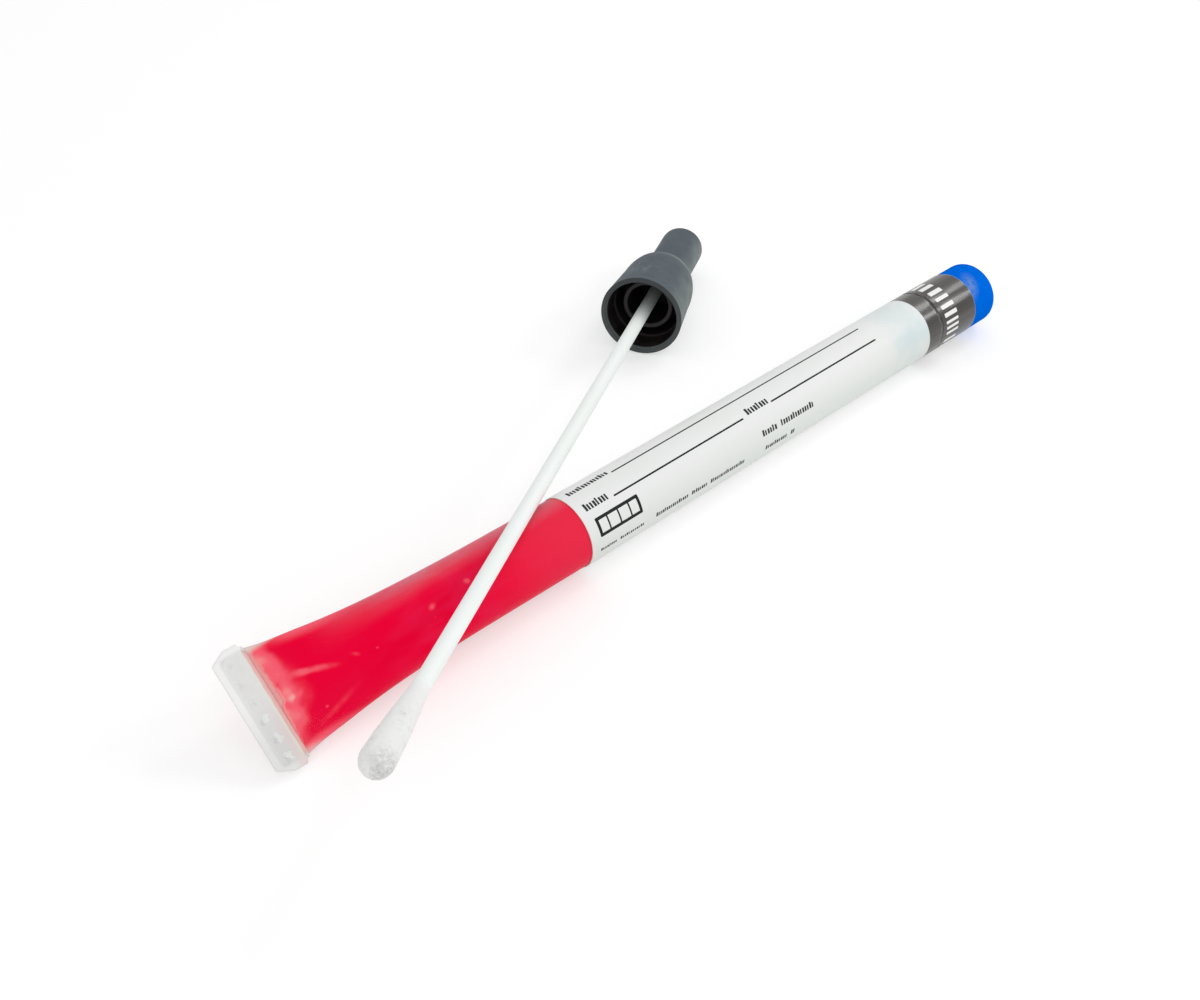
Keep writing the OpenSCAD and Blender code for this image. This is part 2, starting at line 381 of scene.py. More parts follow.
class Finish(Shade):
    """A material with one Principled shader, whose sockets are set or fed by name."""

    def __init__(self, name, base, roughness, specular):
        self.material = bpy.data.materials.new(name)
        self.material.use_nodes = True
        super().__init__(self.material.node_tree)
        self.inputs = self.tree.nodes["Principled BSDF"].inputs
        self.inputs["Specular IOR Level"].default_value = specular
        self.put(base_color=rgba(base), roughness=roughness)

    def put(self, **values):
        """Sets or feeds the shader's sockets, and gives back the material."""
        for name, value in values.items():
            self.feed(self.inputs[name.replace("_", " ").title()], value)
        return self.material


def rgba(value):
    """Adds the alpha to a plain colour, and leaves a node's value as it is."""
    return value if isinstance(value, Value) else (*value, 1.0)


def new_group(name, inputs, outputs):
    """An empty node group, with {name: kind} sockets in and out. Returns its filler and its inner ends."""
    tree = bpy.data.node_groups.new(name, "ShaderNodeTree")
    for in_out, sockets in (("INPUT", inputs), ("OUTPUT", outputs)):
        for socket_name, kind in sockets.items():
            tree.interface.new_socket(socket_name, in_out=in_out, socket_type="NodeSocket" + kind)
    shade = Shade(tree)
    return shade, shade.named(shade.node("NodeGroupInput")), shade.node("NodeGroupOutput").inputs


def wrap_group(name):
    """From a place on a round piece to its station, its turn from the top to the front, and its radius."""
    s, source, target = new_group(name, {"Place": "Vector"},
                                  {"Station": "Float", "Turn": "Float", "Radius": "Float"})
    x, y, z = s.parts(source["Place"])
    s.feed(target["Station"], z)
    s.feed(target["Turn"], s.math("DEGREES", s.math("ARCTAN2", y, x)))
    s.feed(target["Radius"], s.reach(s.vector(x, y)))
    return s.tree


def spot_group(name):
    """A soft elliptical spot on a flat place: 1 in its middle, 0 at its rim."""
    s, source, target = new_group(
        name, {"Place": "Vector", "Middle": "Vector", "Turn": "Vector", "Size": "Vector"}, {"Mask": "Float"})
    inside = s.inside(source["Place"], source["Middle"], source["Turn"], source["Size"])
    s.feed(target["Mask"], s.step(s.reach(s.stretched(inside, 1, 1, 0)), 1.0, 0.0))
    return s.tree


def moulded_group(name):
    """The skin of a moulded plastic: a fine grain for bump, a slow change of tone, and patches of scuffs."""
    s, source, target = new_group(name, {"Place": "Vector"},
                                  {"Grain": "Float", "Tone": "Float", "Scuff": "Float"})
    place = source["Place"]
    scratch = s.noise(s.stretched(place, 7.0, 7.0, 0.8), 1.0, 3.0, 0.7, 0.6)
    patch = s.noise(place, 0.22, 1.0)
    s.feed(target["Grain"], s.noise(place, 9.0, 3.0, 0.6))
    s.feed(target["Tone"], s.noise(place, 0.35, 2.0))
    s.feed(target["Scuff"], s.step(scratch, 0.62, 0.75) * s.step(patch, 0.48, 0.62))
    return s.tree


def speck_group(name):
    """Sparse fine specks, as bubbles or dust."""
    s, source, target = new_group(name, {"Place": "Vector", "Spacing": "Float", "Size": "Float"},
                                  {"Mask": "Float"})
    scale = 1.0 / source["Spacing"]
    scaled = s.first(s.node("ShaderNodeVectorMath", source["Place"], None, None, scale, operation="SCALE"))
    cells = s.named(s.node("ShaderNodeTexVoronoi", scaled, None, 1.0, feature="F1"))
    chosen = s.math("GREATER_THAN", s.parts(cells["Color"])[0], 0.6)
    s.feed(target["Mask"], s.step(cells["Distance"], source["Size"], 0.0) * chosen)
    return s.tree


GROUPS = {"Wrap": wrap_group, "Soft spot": spot_group, "Moulded skin": moulded_group,
          "Specks": speck_group}


def shared(name):
    """One of the shared node groups, built the first time that it is asked for."""
    return bpy.data.node_groups.get(name) or GROUPS[name](name)


# ---------------------------------------------------------------- mesh helpers


# How many facets each turned piece has round its axis
FACETS = {"tube": 216, "label": 144, "film": 256, "stopper": 128, "cap": 144, "stick": 48, "bud": 112}


def lathe(profile, facets):
    """Spins an outline of (radius, station) pairs round local Z. Poles are merged."""
    bm = bmesh.new()
    verts = [bm.verts.new((radius, 0, station)) for radius, station in profile]
    edges = [bm.edges.new(pair) for pair in zip(verts, verts[1:])]
    bmesh.ops.spin(bm, geom=verts + edges, cent=(0, 0, 0), axis=(0, 0, 1), angle=math.tau,
                   steps=facets, use_merge=True)
    bmesh.ops.remove_doubles(bm, verts=bm.verts, dist=1e-8)
    bmesh.ops.recalc_face_normals(bm, faces=bm.faces)
    return bm


def evenly(first, last, steps):
    """Numbers from first to last in even steps, both ends with them."""
    return [first + (last - first) * k / steps for k in range(steps + 1)]


def ring(outer, inner, start, end, facets, rows):
    """A closed sleeve from one station to another, divided into rows along its length."""
    along = evenly(start, end, rows)
    profile = [(outer, z) for z in along] + [(inner, z) for z in reversed(along)]
    return lathe(profile + profile[:1], facets)


def arc(centre_r, centre_z, radius, first, last, steps):
    """Outline points on an arc, its angles in degrees from +radius towards +Z."""
    angles = [math.radians(turn) for turn in evenly(first, last, steps)]
    return [(centre_r + radius * math.cos(a), centre_z + radius * math.sin(a)) for a in angles]


def add_piece(bm, name, material, body, axis=None, nodes=(), sharp=40):
    """Makes an object of a bmesh at its final place, gives it its body, and hides the CAD nodes that it
    stands for.
    """
    if axis:
        bmesh.ops.transform(bm, matrix=axis.matrix, verts=bm.verts)
    mesh = bpy.data.meshes.new(name)
    bm.to_mesh(mesh)
    bm.free()
    mesh.materials.append(material)
    mesh.shade_smooth()
    mesh.set_sharp_from_angle(angle=math.radians(sharp))
    piece = bpy.data.objects.new(name, mesh)
    bpy.context.scene.collection.objects.link(piece)
    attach(piece, body)
    if nodes:
        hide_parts(*nodes)
    return piece


def clamped(value):
    """A value kept between 0 and 1."""
    return min(1.0, max(0.0, value))


def smooth(value, low, high):
    """0 at low, 1 at high, with soft ends; low may be the larger."""
    t = clamped((value - low) / (high - low))
    return t * t * (3 - 2 * t)


def draw_in(vert, drop):
    """Moves a vertex of a round piece towards its axis, never outwards and never past half its radius."""
    drop = max(0.0, drop)
    scale = 1 - drop / max(vert.co.xy.length, 2 * drop)
    vert.co.x *= scale
    vert.co.y *= scale


# ---------------------------------------------------------------- the squeezed end


class SqueezedEnd:
    """The tube's shape from its round barrel to its flat seal, in the strip's own turn.

    u runs across the strip, v out of its upper face, and s is the distance from its outer edge.
    """

    def __init__(self, sizes):
        self.sizes = sizes
        self.strip = SEAL_END + sizes.seal_length
        self.round = self.strip + sizes.squeeze_length
        roll = sizes.seal_roll
        # across and out of the strip, in the tube's local X (up) and Y (front)
        self.across = Vector((math.sin(roll), -math.cos(roll)))
        self.out = Vector((math.cos(roll), math.sin(roll)))
        self.half_strip = QUARTER * TUBE_R

    def squeezed(self, station):
        """How far along the squeeze a station is: 0 on the round barrel, 1 from the strip on."""
        return clamped((self.round - station) / self.sizes.squeeze_length)

    def section(self, station):
        """Half width, half height and sideways shift of the skin at a station."""
        sizes = self.sizes
        flat = self.squeezed(station) ** sizes.squeeze_power
        half_h = TUBE_R + (sizes.seal_thickness / 2 - TUBE_R) * flat
        half_w = TUBE_R + (self.half_strip - sizes.edge_inset - TUBE_R) * flat
        s = station - SEAL_END
        if s < sizes.seal_length:
            half_w += sizes.edge_inset * smooth(s, sizes.seal_length, sizes.seal_length - 0.4 * MM)
            half_w -= sizes.corner_width * max(0.0, 1 - s / sizes.corner_length)
        # a shallow groove along the strip's inner edge
        beside = abs(s - sizes.seal_length - 0.1 * MM)
        half_h -= 0.05 * MM * max(0.0, 1 - beside / (0.3 * MM))
        return half_w, half_h, sizes.seal_shift * self.squeezed(station) ** sizes.shift_power

    def slot_point(self, angle, half_w, half_h):
        """Point on a slot's outline, at the same share of its girth as the angle is of a turn."""
        folded = abs((angle + QUARTER) % math.pi - QUARTER)
        bend = QUARTER * half_h
        straight = half_w - half_h
        run = folded / QUARTER * (bend + straight)
        if run < bend:
            u = straight + half_h * math.cos(run / half_h)
            v = half_h * math.sin(run / half_h)
        else:
            u = straight - (run - bend)
            v = half_h
        return math.copysign(u, math.cos(angle)), math.copysign(v, math.sin(angle))

    def relief(self, s, u, v):
        """How far the skin stands out of its plain shape: fanned wrinkles, lumps and the pressed marks."""
        sizes = self.sizes
        side = 1.0 if v > 0 else -1.0
        if s < sizes.seal_length:
            swell = noise.noise(Vector((u / (2.2 * MM), s / (1.6 * MM), side * 3.1)))
            return 0.018 * MM * swell + self.mark(s, u)
        fade = smooth(s, sizes.seal_length, sizes.seal_length + 1.5 * MM) * smooth(s, 26 * MM, 8 * MM)
        # the wrinkles spread like a fan as they run away from the seal
        spread = 1.5 * MM * (1 + s / (9 * MM))
        fan = noise.noise(Vector((u / spread, s / (11 * MM), side * 7.3)))
        height = sizes.wrinkle * fade * (fan - 0.35)
        if v > 0:
            height += MM * sum(smear.rise * smear.at(s / MM, u / MM) for smear in SMEARS)
        return height

    def mark(self, s, u):
        """Height of the nearest pressed mark: a shallow dimple with a torn rim of squeezed-out plastic."""
        pitch = self.sizes.mark_pitch
        from_middle = u - self.sizes.seal_shift
        count = min(LAST_MARK, max(0, round(from_middle / pitch + LAST_MARK / 2)))
        away = Vector((s - MARK_STATION, from_middle - (count - LAST_MARK / 2) * pitch))
        turn = math.atan2(away.y, away.x)
        rim_r = (0.52 + 0.16 * math.sin(3 * turn + 1.9 * count)) * MM
        rim = smooth(abs(away.length - rim_r), 0.26 * MM, 0.05 * MM)
        torn = smooth(math.sin(2 * turn + 1.3 * count), -0.5, 0.3)
        dimple = smooth(away.length, 0.55 * MM, 0.15 * MM)
        return MARK_HEIGHTS[count] * MM * (rim * torn - 0.8 * dimple)

    def border(self, s, u, half_w):
        """How far a place of the strip lies on the thin lip along its three free edges, from 0 to 1."""
        lip = self.sizes.lip_length
        return smooth(min(s, half_w - abs(u)), lip + 0.1 * MM, lip - 0.2 * MM)

    def place(self, co, bare):
        """Moves a point of the round lathe to the squeezed skin, narrowed by a bare edge next to the seal."""
        if co.z >= self.round:
            return co
        half_w, half_h, shift = self.section(co.z)
        flat = co.xy
        depth = TUBE_R - flat.length
        angle = math.atan2(flat.dot(self.out), flat.dot(self.across))
        if flat.length < 1e-6:
            u, v = 0.0, 0.0
        else:
            narrow = bare * smooth(co.z - SEAL_END, 13 * MM, 6.5 * MM)
            half_h = max(0.1 * MM, half_h - depth - 0.16 * narrow)
            half_w = max(half_h, half_w - depth - narrow)
            u, v = self.slot_point(angle, half_w, half_h)
            s = co.z - SEAL_END
            if s < self.sizes.seal_length:
                thin = 1 - self.sizes.lip_thickness / self.sizes.seal_thickness
                v *= 1 - thin * self.border(s, u, half_w)
            lift = self.relief(s, u + shift, v) * smooth(self.squeezed(co.z), 0.5, 0.85)
            lift *= smooth(abs(v), 0.3 * half_h, 0.9 * half_h)
            v += math.copysign(min(lift, 0.1 * MM), v) if v else 0.0
        local = self.across * (u + shift) + self.out * v
        return Vector((local.x, local.y, co.z))


class Smear:
    """A soft elliptical streak next to the seal. Its sizes are in millimetres in the strip's s and u."""

    def __init__(self, s, u, turn, half_length, half_width, pale, rise):
        self.s, self.u, self.turn = s, u, math.radians(turn)
        self.half_length, self.half_width = half_length, half_width
        self.pale, self.rise = pale, rise

    def at(self, s, u):
        """How strong the streak is at a place, from 0 to 1."""
        along = Vector((s - self.s, u - self.u))
        along.rotate(Matrix.Rotation(-self.turn, 2))
        away = Vector((along.x / self.half_length, along.y / self.half_width)).length
        return smooth(away, 1.0, 0.0)


# Streaks, lumps and specks in the medium, from the seal on: place, turn, size, paleness, rise.
# A negative paleness is a deeper red.
SMEARS = [Smear(*row) for row in (
    (11.6, 1.5, -22, 4.4, 0.8, 0.75, 0.05),
    (9.3, 2.3, -24, 2.4, 0.9, 0.5, 0.03),
    (6.9, 1.0, -40, 1.1, 0.8, 0.40, 0.08),
    (7.1, -0.35, -70, 1.5, 1.1, 0.30, 0.10),
    (7.0, -0.15, 20, 1.0, 0.8, 0.95, 0.03),
    (7.9, -0.25, 30, 0.9, 0.6, 0.50, 0.02),
    (6.7, -3.2, -75, 2.2, 1.3, 0.60, 0.03),
    (7.2, 8.2, 0, 1.6, 1.3, 0.5, 0.0),
    (11.6, -4.5, 17, 6.0, 0.8, 0.34, 0.05),
    (6.3, 6.7, -48, 3.0, 1.5, 0.60, -0.02),
    (6.1, 2.1, 70, 1.5, 0.9, -0.9, -0.04),
    (5.95, -0.8, -70, 1.2, 0.7, -0.8, -0.05),
    (17.0, 0.4, -35, 1.1, 0.5, 0.45, 0.0),
    (30.2, 0.5, 20, 1.1, 0.75, 0.85, 0.04),
    (37.0, 1.1, -30, 0.9, 0.75, 0.95, 0.04),
    (20.1, -0.5, 0, 0.4, 0.3, 0.45, 0.0),
    (10.1, -3.8, 0, 0.4, 0.35, 0.6, 0.0),
)]
# Height of each pressed mark of the seal strip, from its lower to its upper end, in millimetres
MARK_HEIGHTS = [0.10, 0.10, 0.08, 0.05, 0.03, 0.05]
LAST_MARK = len(MARK_HEIGHTS) - 1
# Distance of the row of marks from the strip's outer edge
MARK_STATION = 2.5 * MM


def near_seal_stations(start, end):
    """Stations from start to end, close together next to the seal and wider apart along the barrel."""
    found, gap = [start], 0.14 * MM
    while found[-1] + gap < end:
        found.append(found[-1] + gap)
        gap *= 1.045
    return found + [end]


def soft_tube(sizes):
    """The tube: its outer skin from the seal to the mouth, and its bore back to the seal."""
    shape = SqueezedEnd(sizes)
    medium_end = TUBE.span("medium")[1]
    clear_r = TUBE_R - sizes.thin_wall
    bore_r = TUBE_R - sizes.wall
    row = 0.12 * MM
    strip = [SEAL_END + row * k for k in range(int(sizes.seal_length / row))]
    loft = near_seal_stations(shape.strip, shape.round)
    # behind the strip the bore starts after this much solid plastic
    web = 0.05 * MM
    rim = 0.12 * MM
    outside = [(0, SEAL_END), (TUBE_R * 0.9, SEAL_END)]
    outside += [(TUBE_R, x) for x in strip + loft]
    outside += [(TUBE_R, MOUTH - rim), (TUBE_R - rim, MOUTH), (bore_r + rim, MOUTH), (bore_r, MOUTH - rim)]
    inside = [(bore_r, medium_end + 0.2 * MM), (clear_r, medium_end + 0.1 * MM)]
    inside += [(clear_r, x) for x in reversed(loft) if x > shape.strip + web]
    bm = lathe(outside + inside + [(0, shape.strip + web)], FACETS["tube"])
    for vert in bm.verts:
        covered = vert.co.xy.length < TUBE_R - sizes.thin_wall / 2 and vert.co.z < medium_end
        vert.co = shape.place(vert.co, sizes.bare_edge if covered else 0.0)
    return bm


def medium_fill(sizes):
    """The medium, swollen to the clear wall as it looks through the round tube."""
    shape = SqueezedEnd(sizes)
    end = TUBE.span("medium")[1]
    radius = TUBE_R - sizes.thin_wall - 0.015 * MM
    edge = 0.3 * MM
    loft = near_seal_stations(shape.strip + 0.08 * MM, shape.round)
    barrel = evenly(shape.round, end, 6)[1:-1]
    profile = [(0, loft[0])] + [(radius, x) for x in loft + barrel]
    profile += [(radius, end - edge), (radius - edge, end), (0, end)]
    bm = lathe(profile, FACETS["tube"])
    for vert in bm.verts:
        vert.co = shape.place(vert.co, sizes.bare_edge)
    return bm


# ---------------------------------------------------------------- tube and medium materials


def strip_place(s, sizes):
    """Place in the strip's own turn: distance from the seal's outer edge, then across, then out, in mm."""
    x, y, z = s.parts(s.local(TUBE))
    roll = sizes.seal_roll
    across = x * math.sin(roll) - y * math.cos(roll)
    out = x * math.cos(roll) + y * math.sin(roll)
    return s.vector(z - SEAL_END / MM, across, out)


def smears_mask(s, place):
    """All streaks and lumps, each by its paleness, broken up by a fine cloud."""
    total = None
    for smear in SMEARS:
        spot = s.spot(place, (smear.s, smear.u), smear.turn, (smear.half_length, smear.half_width))
        part = spot * smear.pale
        total = part if total is None else total + part
    return total * s.step(s.noise(place, 0.7), 0.25, 0.7, 0.65, 1.15)


def edge_distance(s, along, across, sizes):
    """Distance from the squeezed barrel's side edge, in mm."""
    span = sizes.squeeze_length / MM
    left = s.math("DIVIDE", span + sizes.seal_length / MM - along, span, clamp=True)
    round_w = TUBE_R / MM
    flat_w = (QUARTER * TUBE_R - sizes.edge_inset) / MM
    half_w = left ** sizes.squeeze_power * (flat_w - round_w) + round_w
    shift = left ** sizes.shift_power * (sizes.seal_shift / MM)
    return half_w - abs(across - shift)


def second_fold(s, across, sizes):
    """Station of the fold beside the strip's inner edge: near it below, with a step out above the lump."""
    seal = sizes.seal_length / MM
    below = s.smaller(across, 0.0) * 0.06
    above = s.larger(across - 1.0, 0.0) * -0.05
    return s.step(across, -0.8, 0.3, seal + 0.6, seal + 1.1) + (below + above)


def pale_zone(s, place, sizes):
    """How pale the medium is: 0 deep red, 1 pink, more where it is paler yet."""
    along, across, out = s.parts(place)
    front = s.step(out, -0.3, 0.1)
    # the pale zone ends in a ragged bow across the tube, steeper below
    from_middle = across - 0.8
    bend = from_middle * from_middle * s.step(across, 1.5, -0.5, 0.056, 0.108)
    past = along + s.wander(place, 0.4, 2.2) + (bend - 9.5)
    thin = s.step(past, 1.2, -3.4) * s.step(s.noise(place, 0.5), 0.34, 0.64, 0.75, 1.15)
    beside = s.step(along - second_fold(s, across, sizes), 2.4, 0.2, 0.0, 0.5)
    pale = thin + beside + smears_mask(s, place) * front
    # past 1, where it is palest, it rises less
    pale = s.larger(pale - 1.0, 0.0) * 0.45 + s.smaller(pale, 1.0)
    # it fades along both side edges: far in along the upper one, to white next to the seal
    edge = edge_distance(s, along, across, sizes)
    upper_edge = s.step(edge, 2.6, 0.2) * s.step(across, 0.0, 2.0)
    upper_edge = upper_edge * s.step(along, 26.0, 12.0, 0.0, 0.95) * s.step(along, 6.0, 12.0, 0.3, 1.0)
    from_seal = along - sizes.seal_length / MM
    inset = from_seal * 0.17 + (edge + s.step(across, 0.0, 3.0, 0.0, 0.4))
    pale = s.larger(s.larger(pale, upper_edge), s.step(inset, 2.6, 1.0, 0.0, 0.95))
    bubbles = s.group("Specks", place=place, spacing=3.4, size=0.045)["Mask"]
    # the corners next to the seal, where it is almost white
    corner = from_seal * 0.3 + edge - s.step(across, 6.0, 8.5, 0.0, 0.3)
    return s.larger(pale, bubbles * 0.55), s.step(corner, 1.8, 0.6, 0.0, 0.92)


def red_medium(sizes, colours):
    """Wet red gel, pale and streaked next to the seal, rosier towards the label."""
    s = Finish("red_medium", colours.red, 0.35, 0.02)
    rose, late_rose, palest = (0.86, 0.009, 0.064), (0.85, 0.026, 0.068), (1.0, 0.42, 0.40)
    tan, crease_shade_red, fold_highlight_pink = (0.87, 0.40, 0.385), (0.80, 0.14, 0.16), (0.98, 0.46, 0.40)
    lower_white, upper_white = (0.90, 0.50, 0.47), (0.78, 0.70, 0.64)
    place = strip_place(s, sizes)
    along, across, _ = s.parts(place)
    pale, corner = pale_zone(s, place, sizes)

    slow = s.step(s.noise(s.stretched(place, 0.35, 1.0, 1.0), 0.35), 0.35, 0.7)
    gel = s.mix(s.step(along, 14.0, 34.0, 0.25, 1.0) * slow, colours.red, rose)
    gel = s.mix(s.step(along, 34.0, 57.0), gel, late_rose)
    gel = s.mix(s.step(pale, 0.0, 1.0), gel, colours.pink)
    gel = s.mix(s.step(pale, 1.0, 1.75), gel, palest)
    # a pink-tan band between the strip and the fold beside it, with a broken crease line of painted shade and
    # a painted glint beside it
    to_fold = along + s.wander(place, 1.3, 0.5, 3.0, 0.6) - second_fold(s, across, sizes)
    gel = s.mix(s.step(to_fold, 0.15, -0.15, 0.0, 0.9), gel, tan)
    here = s.step(s.noise(place, 0.55), 0.4, 0.6, 0.2, 1.0)
    gel = s.mix(s.line(to_fold, -0.12, 0.16, 0.02, 0.45) * here, gel, crease_shade_red)
    gel = s.mix(s.line(to_fold, 0.12, 0.2, 0.03, 0.4) * here, gel, fold_highlight_pink)
    gel = s.mix(corner, gel, s.mix(s.step(across, -3.0, 1.0), lower_white, upper_white))
    return s.put(base_color=gel, roughness=s.step(pale, 0.0, 1.0, 0.35, 0.5),
                 normal=s.bump(s.noise(place, 0.9), 0.06 * MM, 0.35))


def pressed_marks(s, place, sizes):
    """Masks of the pressed marks: a painted highlight on the torn burr, clear on the lower ones, and a
    painted shadow in a dent beside it.
    """
    along, across, _ = s.parts(place)
    pitch = sizes.mark_pitch / MM
    count = (across - sizes.seal_shift / MM) / pitch + LAST_MARK / 2
    nearest = s.smaller(s.larger(s.math("ROUND", count), 0.0), LAST_MARK)
    du = (count - nearest) * pitch + s.wander(place, 1.5, 2.6, 3.0, 0.6)
    ds = along - 2.6 + s.wander(place, 0.9, 1.6, 1.0)
    burr = s.reach(s.vector(ds, du * 0.75))
    dent = s.reach(s.vector(ds + 0.5, du + 0.3))
    return (s.step(burr, 0.62, 0.38) * s.step(across, 3.0, -1.5, 0.12, 1.0),
            s.step(dent, 0.6, 0.2) * s.step(across, 5.0, -1.5, 0.5, 1.0))


def strip_white(s, place, inner, sizes):
    """Colour of the seal strip: a brighter bevel along its free edges, greyer and a little rosy inwards, with
    painted light at its pressed marks and along its inner edge.
    """
    upper_grey, lower_grey, cloud_grey = (0.775, 0.78, 0.775), (0.70, 0.705, 0.70), (0.69, 0.70, 0.69)
    upper_lip, lower_lip, blush = (0.90, 0.90, 0.895), (0.80, 0.805, 0.80), (0.79, 0.665, 0.64)
    dent_shadow_grey, burr_highlight_white = (0.48, 0.49, 0.485), (0.82, 0.85, 0.83)
    pink, edge_highlight_green, edge_shade_red = (0.85, 0.43, 0.41), (0.76, 0.80, 0.69), (0.72, 0.36, 0.35)
    along, across, _ = s.parts(place)
    seal, half_strip = sizes.seal_length / MM, QUARTER * TUBE_R / MM
    tone = s.noise(place, 0.7, 3.0, 0.6)
    side = abs(across - sizes.seal_shift / MM)
    lower = s.step(across, 4.0, -6.0)
    grey = s.mix(s.step(tone, 0.35, 0.7, 0.0, 0.3), s.mix(lower, upper_grey, lower_grey), cloud_grey)
    in_middle = s.step(s.smaller(along, half_strip - side), 0.8, 1.5)
    white = s.mix(in_middle, s.mix(lower, upper_lip, lower_lip), grey)
    rosy = s.step(inner, seal - 2.1, seal - 0.3) * s.step(tone, 0.3, 0.6, 0.45, 0.9)
    white = s.mix(rosy * lower, white, blush)
    burr_highlights, dent_shadows = pressed_marks(s, place, sizes)
    # painted shadow beside the pressed marks and a painted highlight on their burrs
    white = s.mix(dent_shadows * 0.35, white, dent_shadow_grey)
    white = s.mix(burr_highlights * 0.8, white, burr_highlight_white)
    # its inner edge: a painted pale green highlight, then pink-tan with a thin darker line of painted shade,
    # white at both sides
    inwards = s.step(side, half_strip - 1.1, half_strip - 2.0)
    white = s.mix(s.step(inner, seal - 0.05, seal + 0.15, 0.0, 0.85) * inwards, white, pink)
    white = s.mix(s.line(inner, seal - 0.2, 0.3, 0.08, 0.6) * inwards, white, edge_highlight_green)
    broken = s.step(s.noise(place, 0.5), 0.4, 0.6, 0.15, 0.7)
    white = s.mix(s.line(inner, seal + 0.02, 0.1, 0.03) * broken * inwards, white, edge_shade_red)
    return white, tone


def tube_plastic(sizes, colours):
    """Milky soft plastic: all but clear over the medium, hazy at its edges, where the haze is partly a
    painted reflection, nearly solid in the seal.
    """
    s = Finish("tube_plastic", colours.plastic, 0.42, 0.25)
    blue_haze_and_reflection, warm_edge_highlight = (0.66, 0.77, 0.90), (0.92, 0.60, 0.55)
    _, station, turn, _ = s.wrapped(TUBE)
    place = strip_place(s, sizes)
    along = s.parts(place)[0]
    seal = sizes.seal_length / MM

    # haze over the medium, partly a painted reflection of the white surroundings: a veil along the upper back
    # and the lower front
    back = s.step(turn, 14.0, -34.0) * s.step(along, 11.0, 34.0)
    cloud = s.noise(s.stretched(place, 0.25, 1.0, 1.0), 0.8, 3.0)
    haze_and_reflection = back * 0.115 + s.step(turn, 92.0, 128.0) * 0.01
    haze_and_reflection = haze_and_reflection * s.step(cloud, 0.2, 0.75, 0.6, 1.2)
    # the strip is solid, its inner edge a little ragged
    inner = along + s.wander(place, 0.8, 0.22)
    strip = s.step(inner, seal + 0.30, seal + 0.24)
    # under the label the wall is milky, from a thin pale line along the label's edge on, which is a painted
    # highlight
    label = TUBE.span("label")[0] / MM
    alpha = s.larger(s.larger(strip, haze_and_reflection), s.step(station, label - 0.06, label))

    white, tone = strip_white(s, place, inner + 0.22, sizes)
    # the haze and painted reflection over the medium are a little bluish
    white = s.mix(s.step(along, seal + 1.0, seal + 4.0), white, blue_haze_and_reflection)
    white = s.mix(s.step(station, label + 0.3, label + 0.8), white, colours.plastic)
    # a painted highlight on the wall along the label's edge
    label_edge_highlight = s.step(station, label - 1.0, label - 0.9) * s.step(station, label + 0.8, label + 0.3)
    fine = s.noise(place, 3.5, 3.0, 0.6)
    return s.put(alpha=alpha, base_color=s.mix(label_edge_highlight, white, warm_edge_highlight),
                 normal=s.bump(fine, 0.012 * MM, 0.4, s.bump(tone, 0.05 * MM, 0.4)))


class SWABTUBE_OT_tube(bpy.types.Operator):
    """Builds the soft tube with its squeezed, sealed end, and the medium inside it"""

    bl_idname = "swabtube.tube"
    bl_label = "Tube and medium"

    def execute(self, context):
        sizes, colours = context.scene.swabtube_tube, context.scene.swabtube_colours
        add_piece(soft_tube(sizes), "soft_tube", tube_plastic(sizes, colours), TUBE_BODY,
                  TUBE, ["tube"], 50)
        add_piece(medium_fill(sizes), "medium_fill", red_medium(sizes, colours), TUBE_BODY,
                  TUBE, ["medium"], 60)
        return {"FINISHED"}


# ---------------------------------------------------------------- label


def patch(start, end, first_turn, last_turn, radius, thickness, corner=0.0, stroke=0.0):
    """A thin closed patch of print wrapped on the barrel, turns in degrees. A stroke makes it a frame."""
    bm = bmesh.new()
    wide = math.radians(last_turn - first_turn) * radius
    bmesh.ops.create_grid(bm, x_segments=1, y_segments=1, size=0.5)
    bmesh.ops.scale(bm, vec=(end - start, wide, 1), verts=bm.verts)
    if corner:
        bmesh.ops.bevel(bm, geom=bm.verts[:], offset=corner, offset_type="OFFSET", segments=4,
                        profile=0.5, affect="VERTICES", material=-1)
    if stroke:
        middle_face = bm.faces[:]
        bmesh.ops.inset_region(bm, faces=middle_face, thickness=stroke, use_even_offset=True,
                               use_boundary=True)
        bmesh.ops.delete(bm, geom=middle_face, context="FACES")
    # cut into narrow rows, so that it bends round the barrel
    rows = max(1, math.ceil(wide / (0.35 * MM)))
    for cut in evenly(-wide / 2, wide / 2, rows)[1:-1]:
        bmesh.ops.bisect_plane(bm, geom=bm.verts[:] + bm.edges[:] + bm.faces[:],
                               plane_co=(0, cut, 0), plane_no=(0, 1, 0))
    top = bmesh.ops.extrude_face_region(bm, geom=bm.faces[:])["geom"]
    raised = {v for v in top if isinstance(v, bmesh.types.BMVert)}
    centre_turn = math.radians(first_turn + last_turn) / 2
    for vert in bm.verts:
        r = radius + (thickness if vert in raised else -thickness)
        turn = centre_turn + vert.co.y / radius
        vert.co = Vector((r * math.cos(turn), r * math.sin(turn), (start + end) / 2 + vert.co.x))
    bmesh.ops.recalc_face_normals(bm, faces=bm.faces)
    return bm


def join(parts):
    """One bmesh of several."""
    whole = bmesh.new()
    for part in parts:
        mesh = bpy.data.meshes.new("part")
        part.to_mesh(mesh)
        part.free()
        whole.from_mesh(mesh)
        bpy.data.meshes.remove(mesh)
    return whole


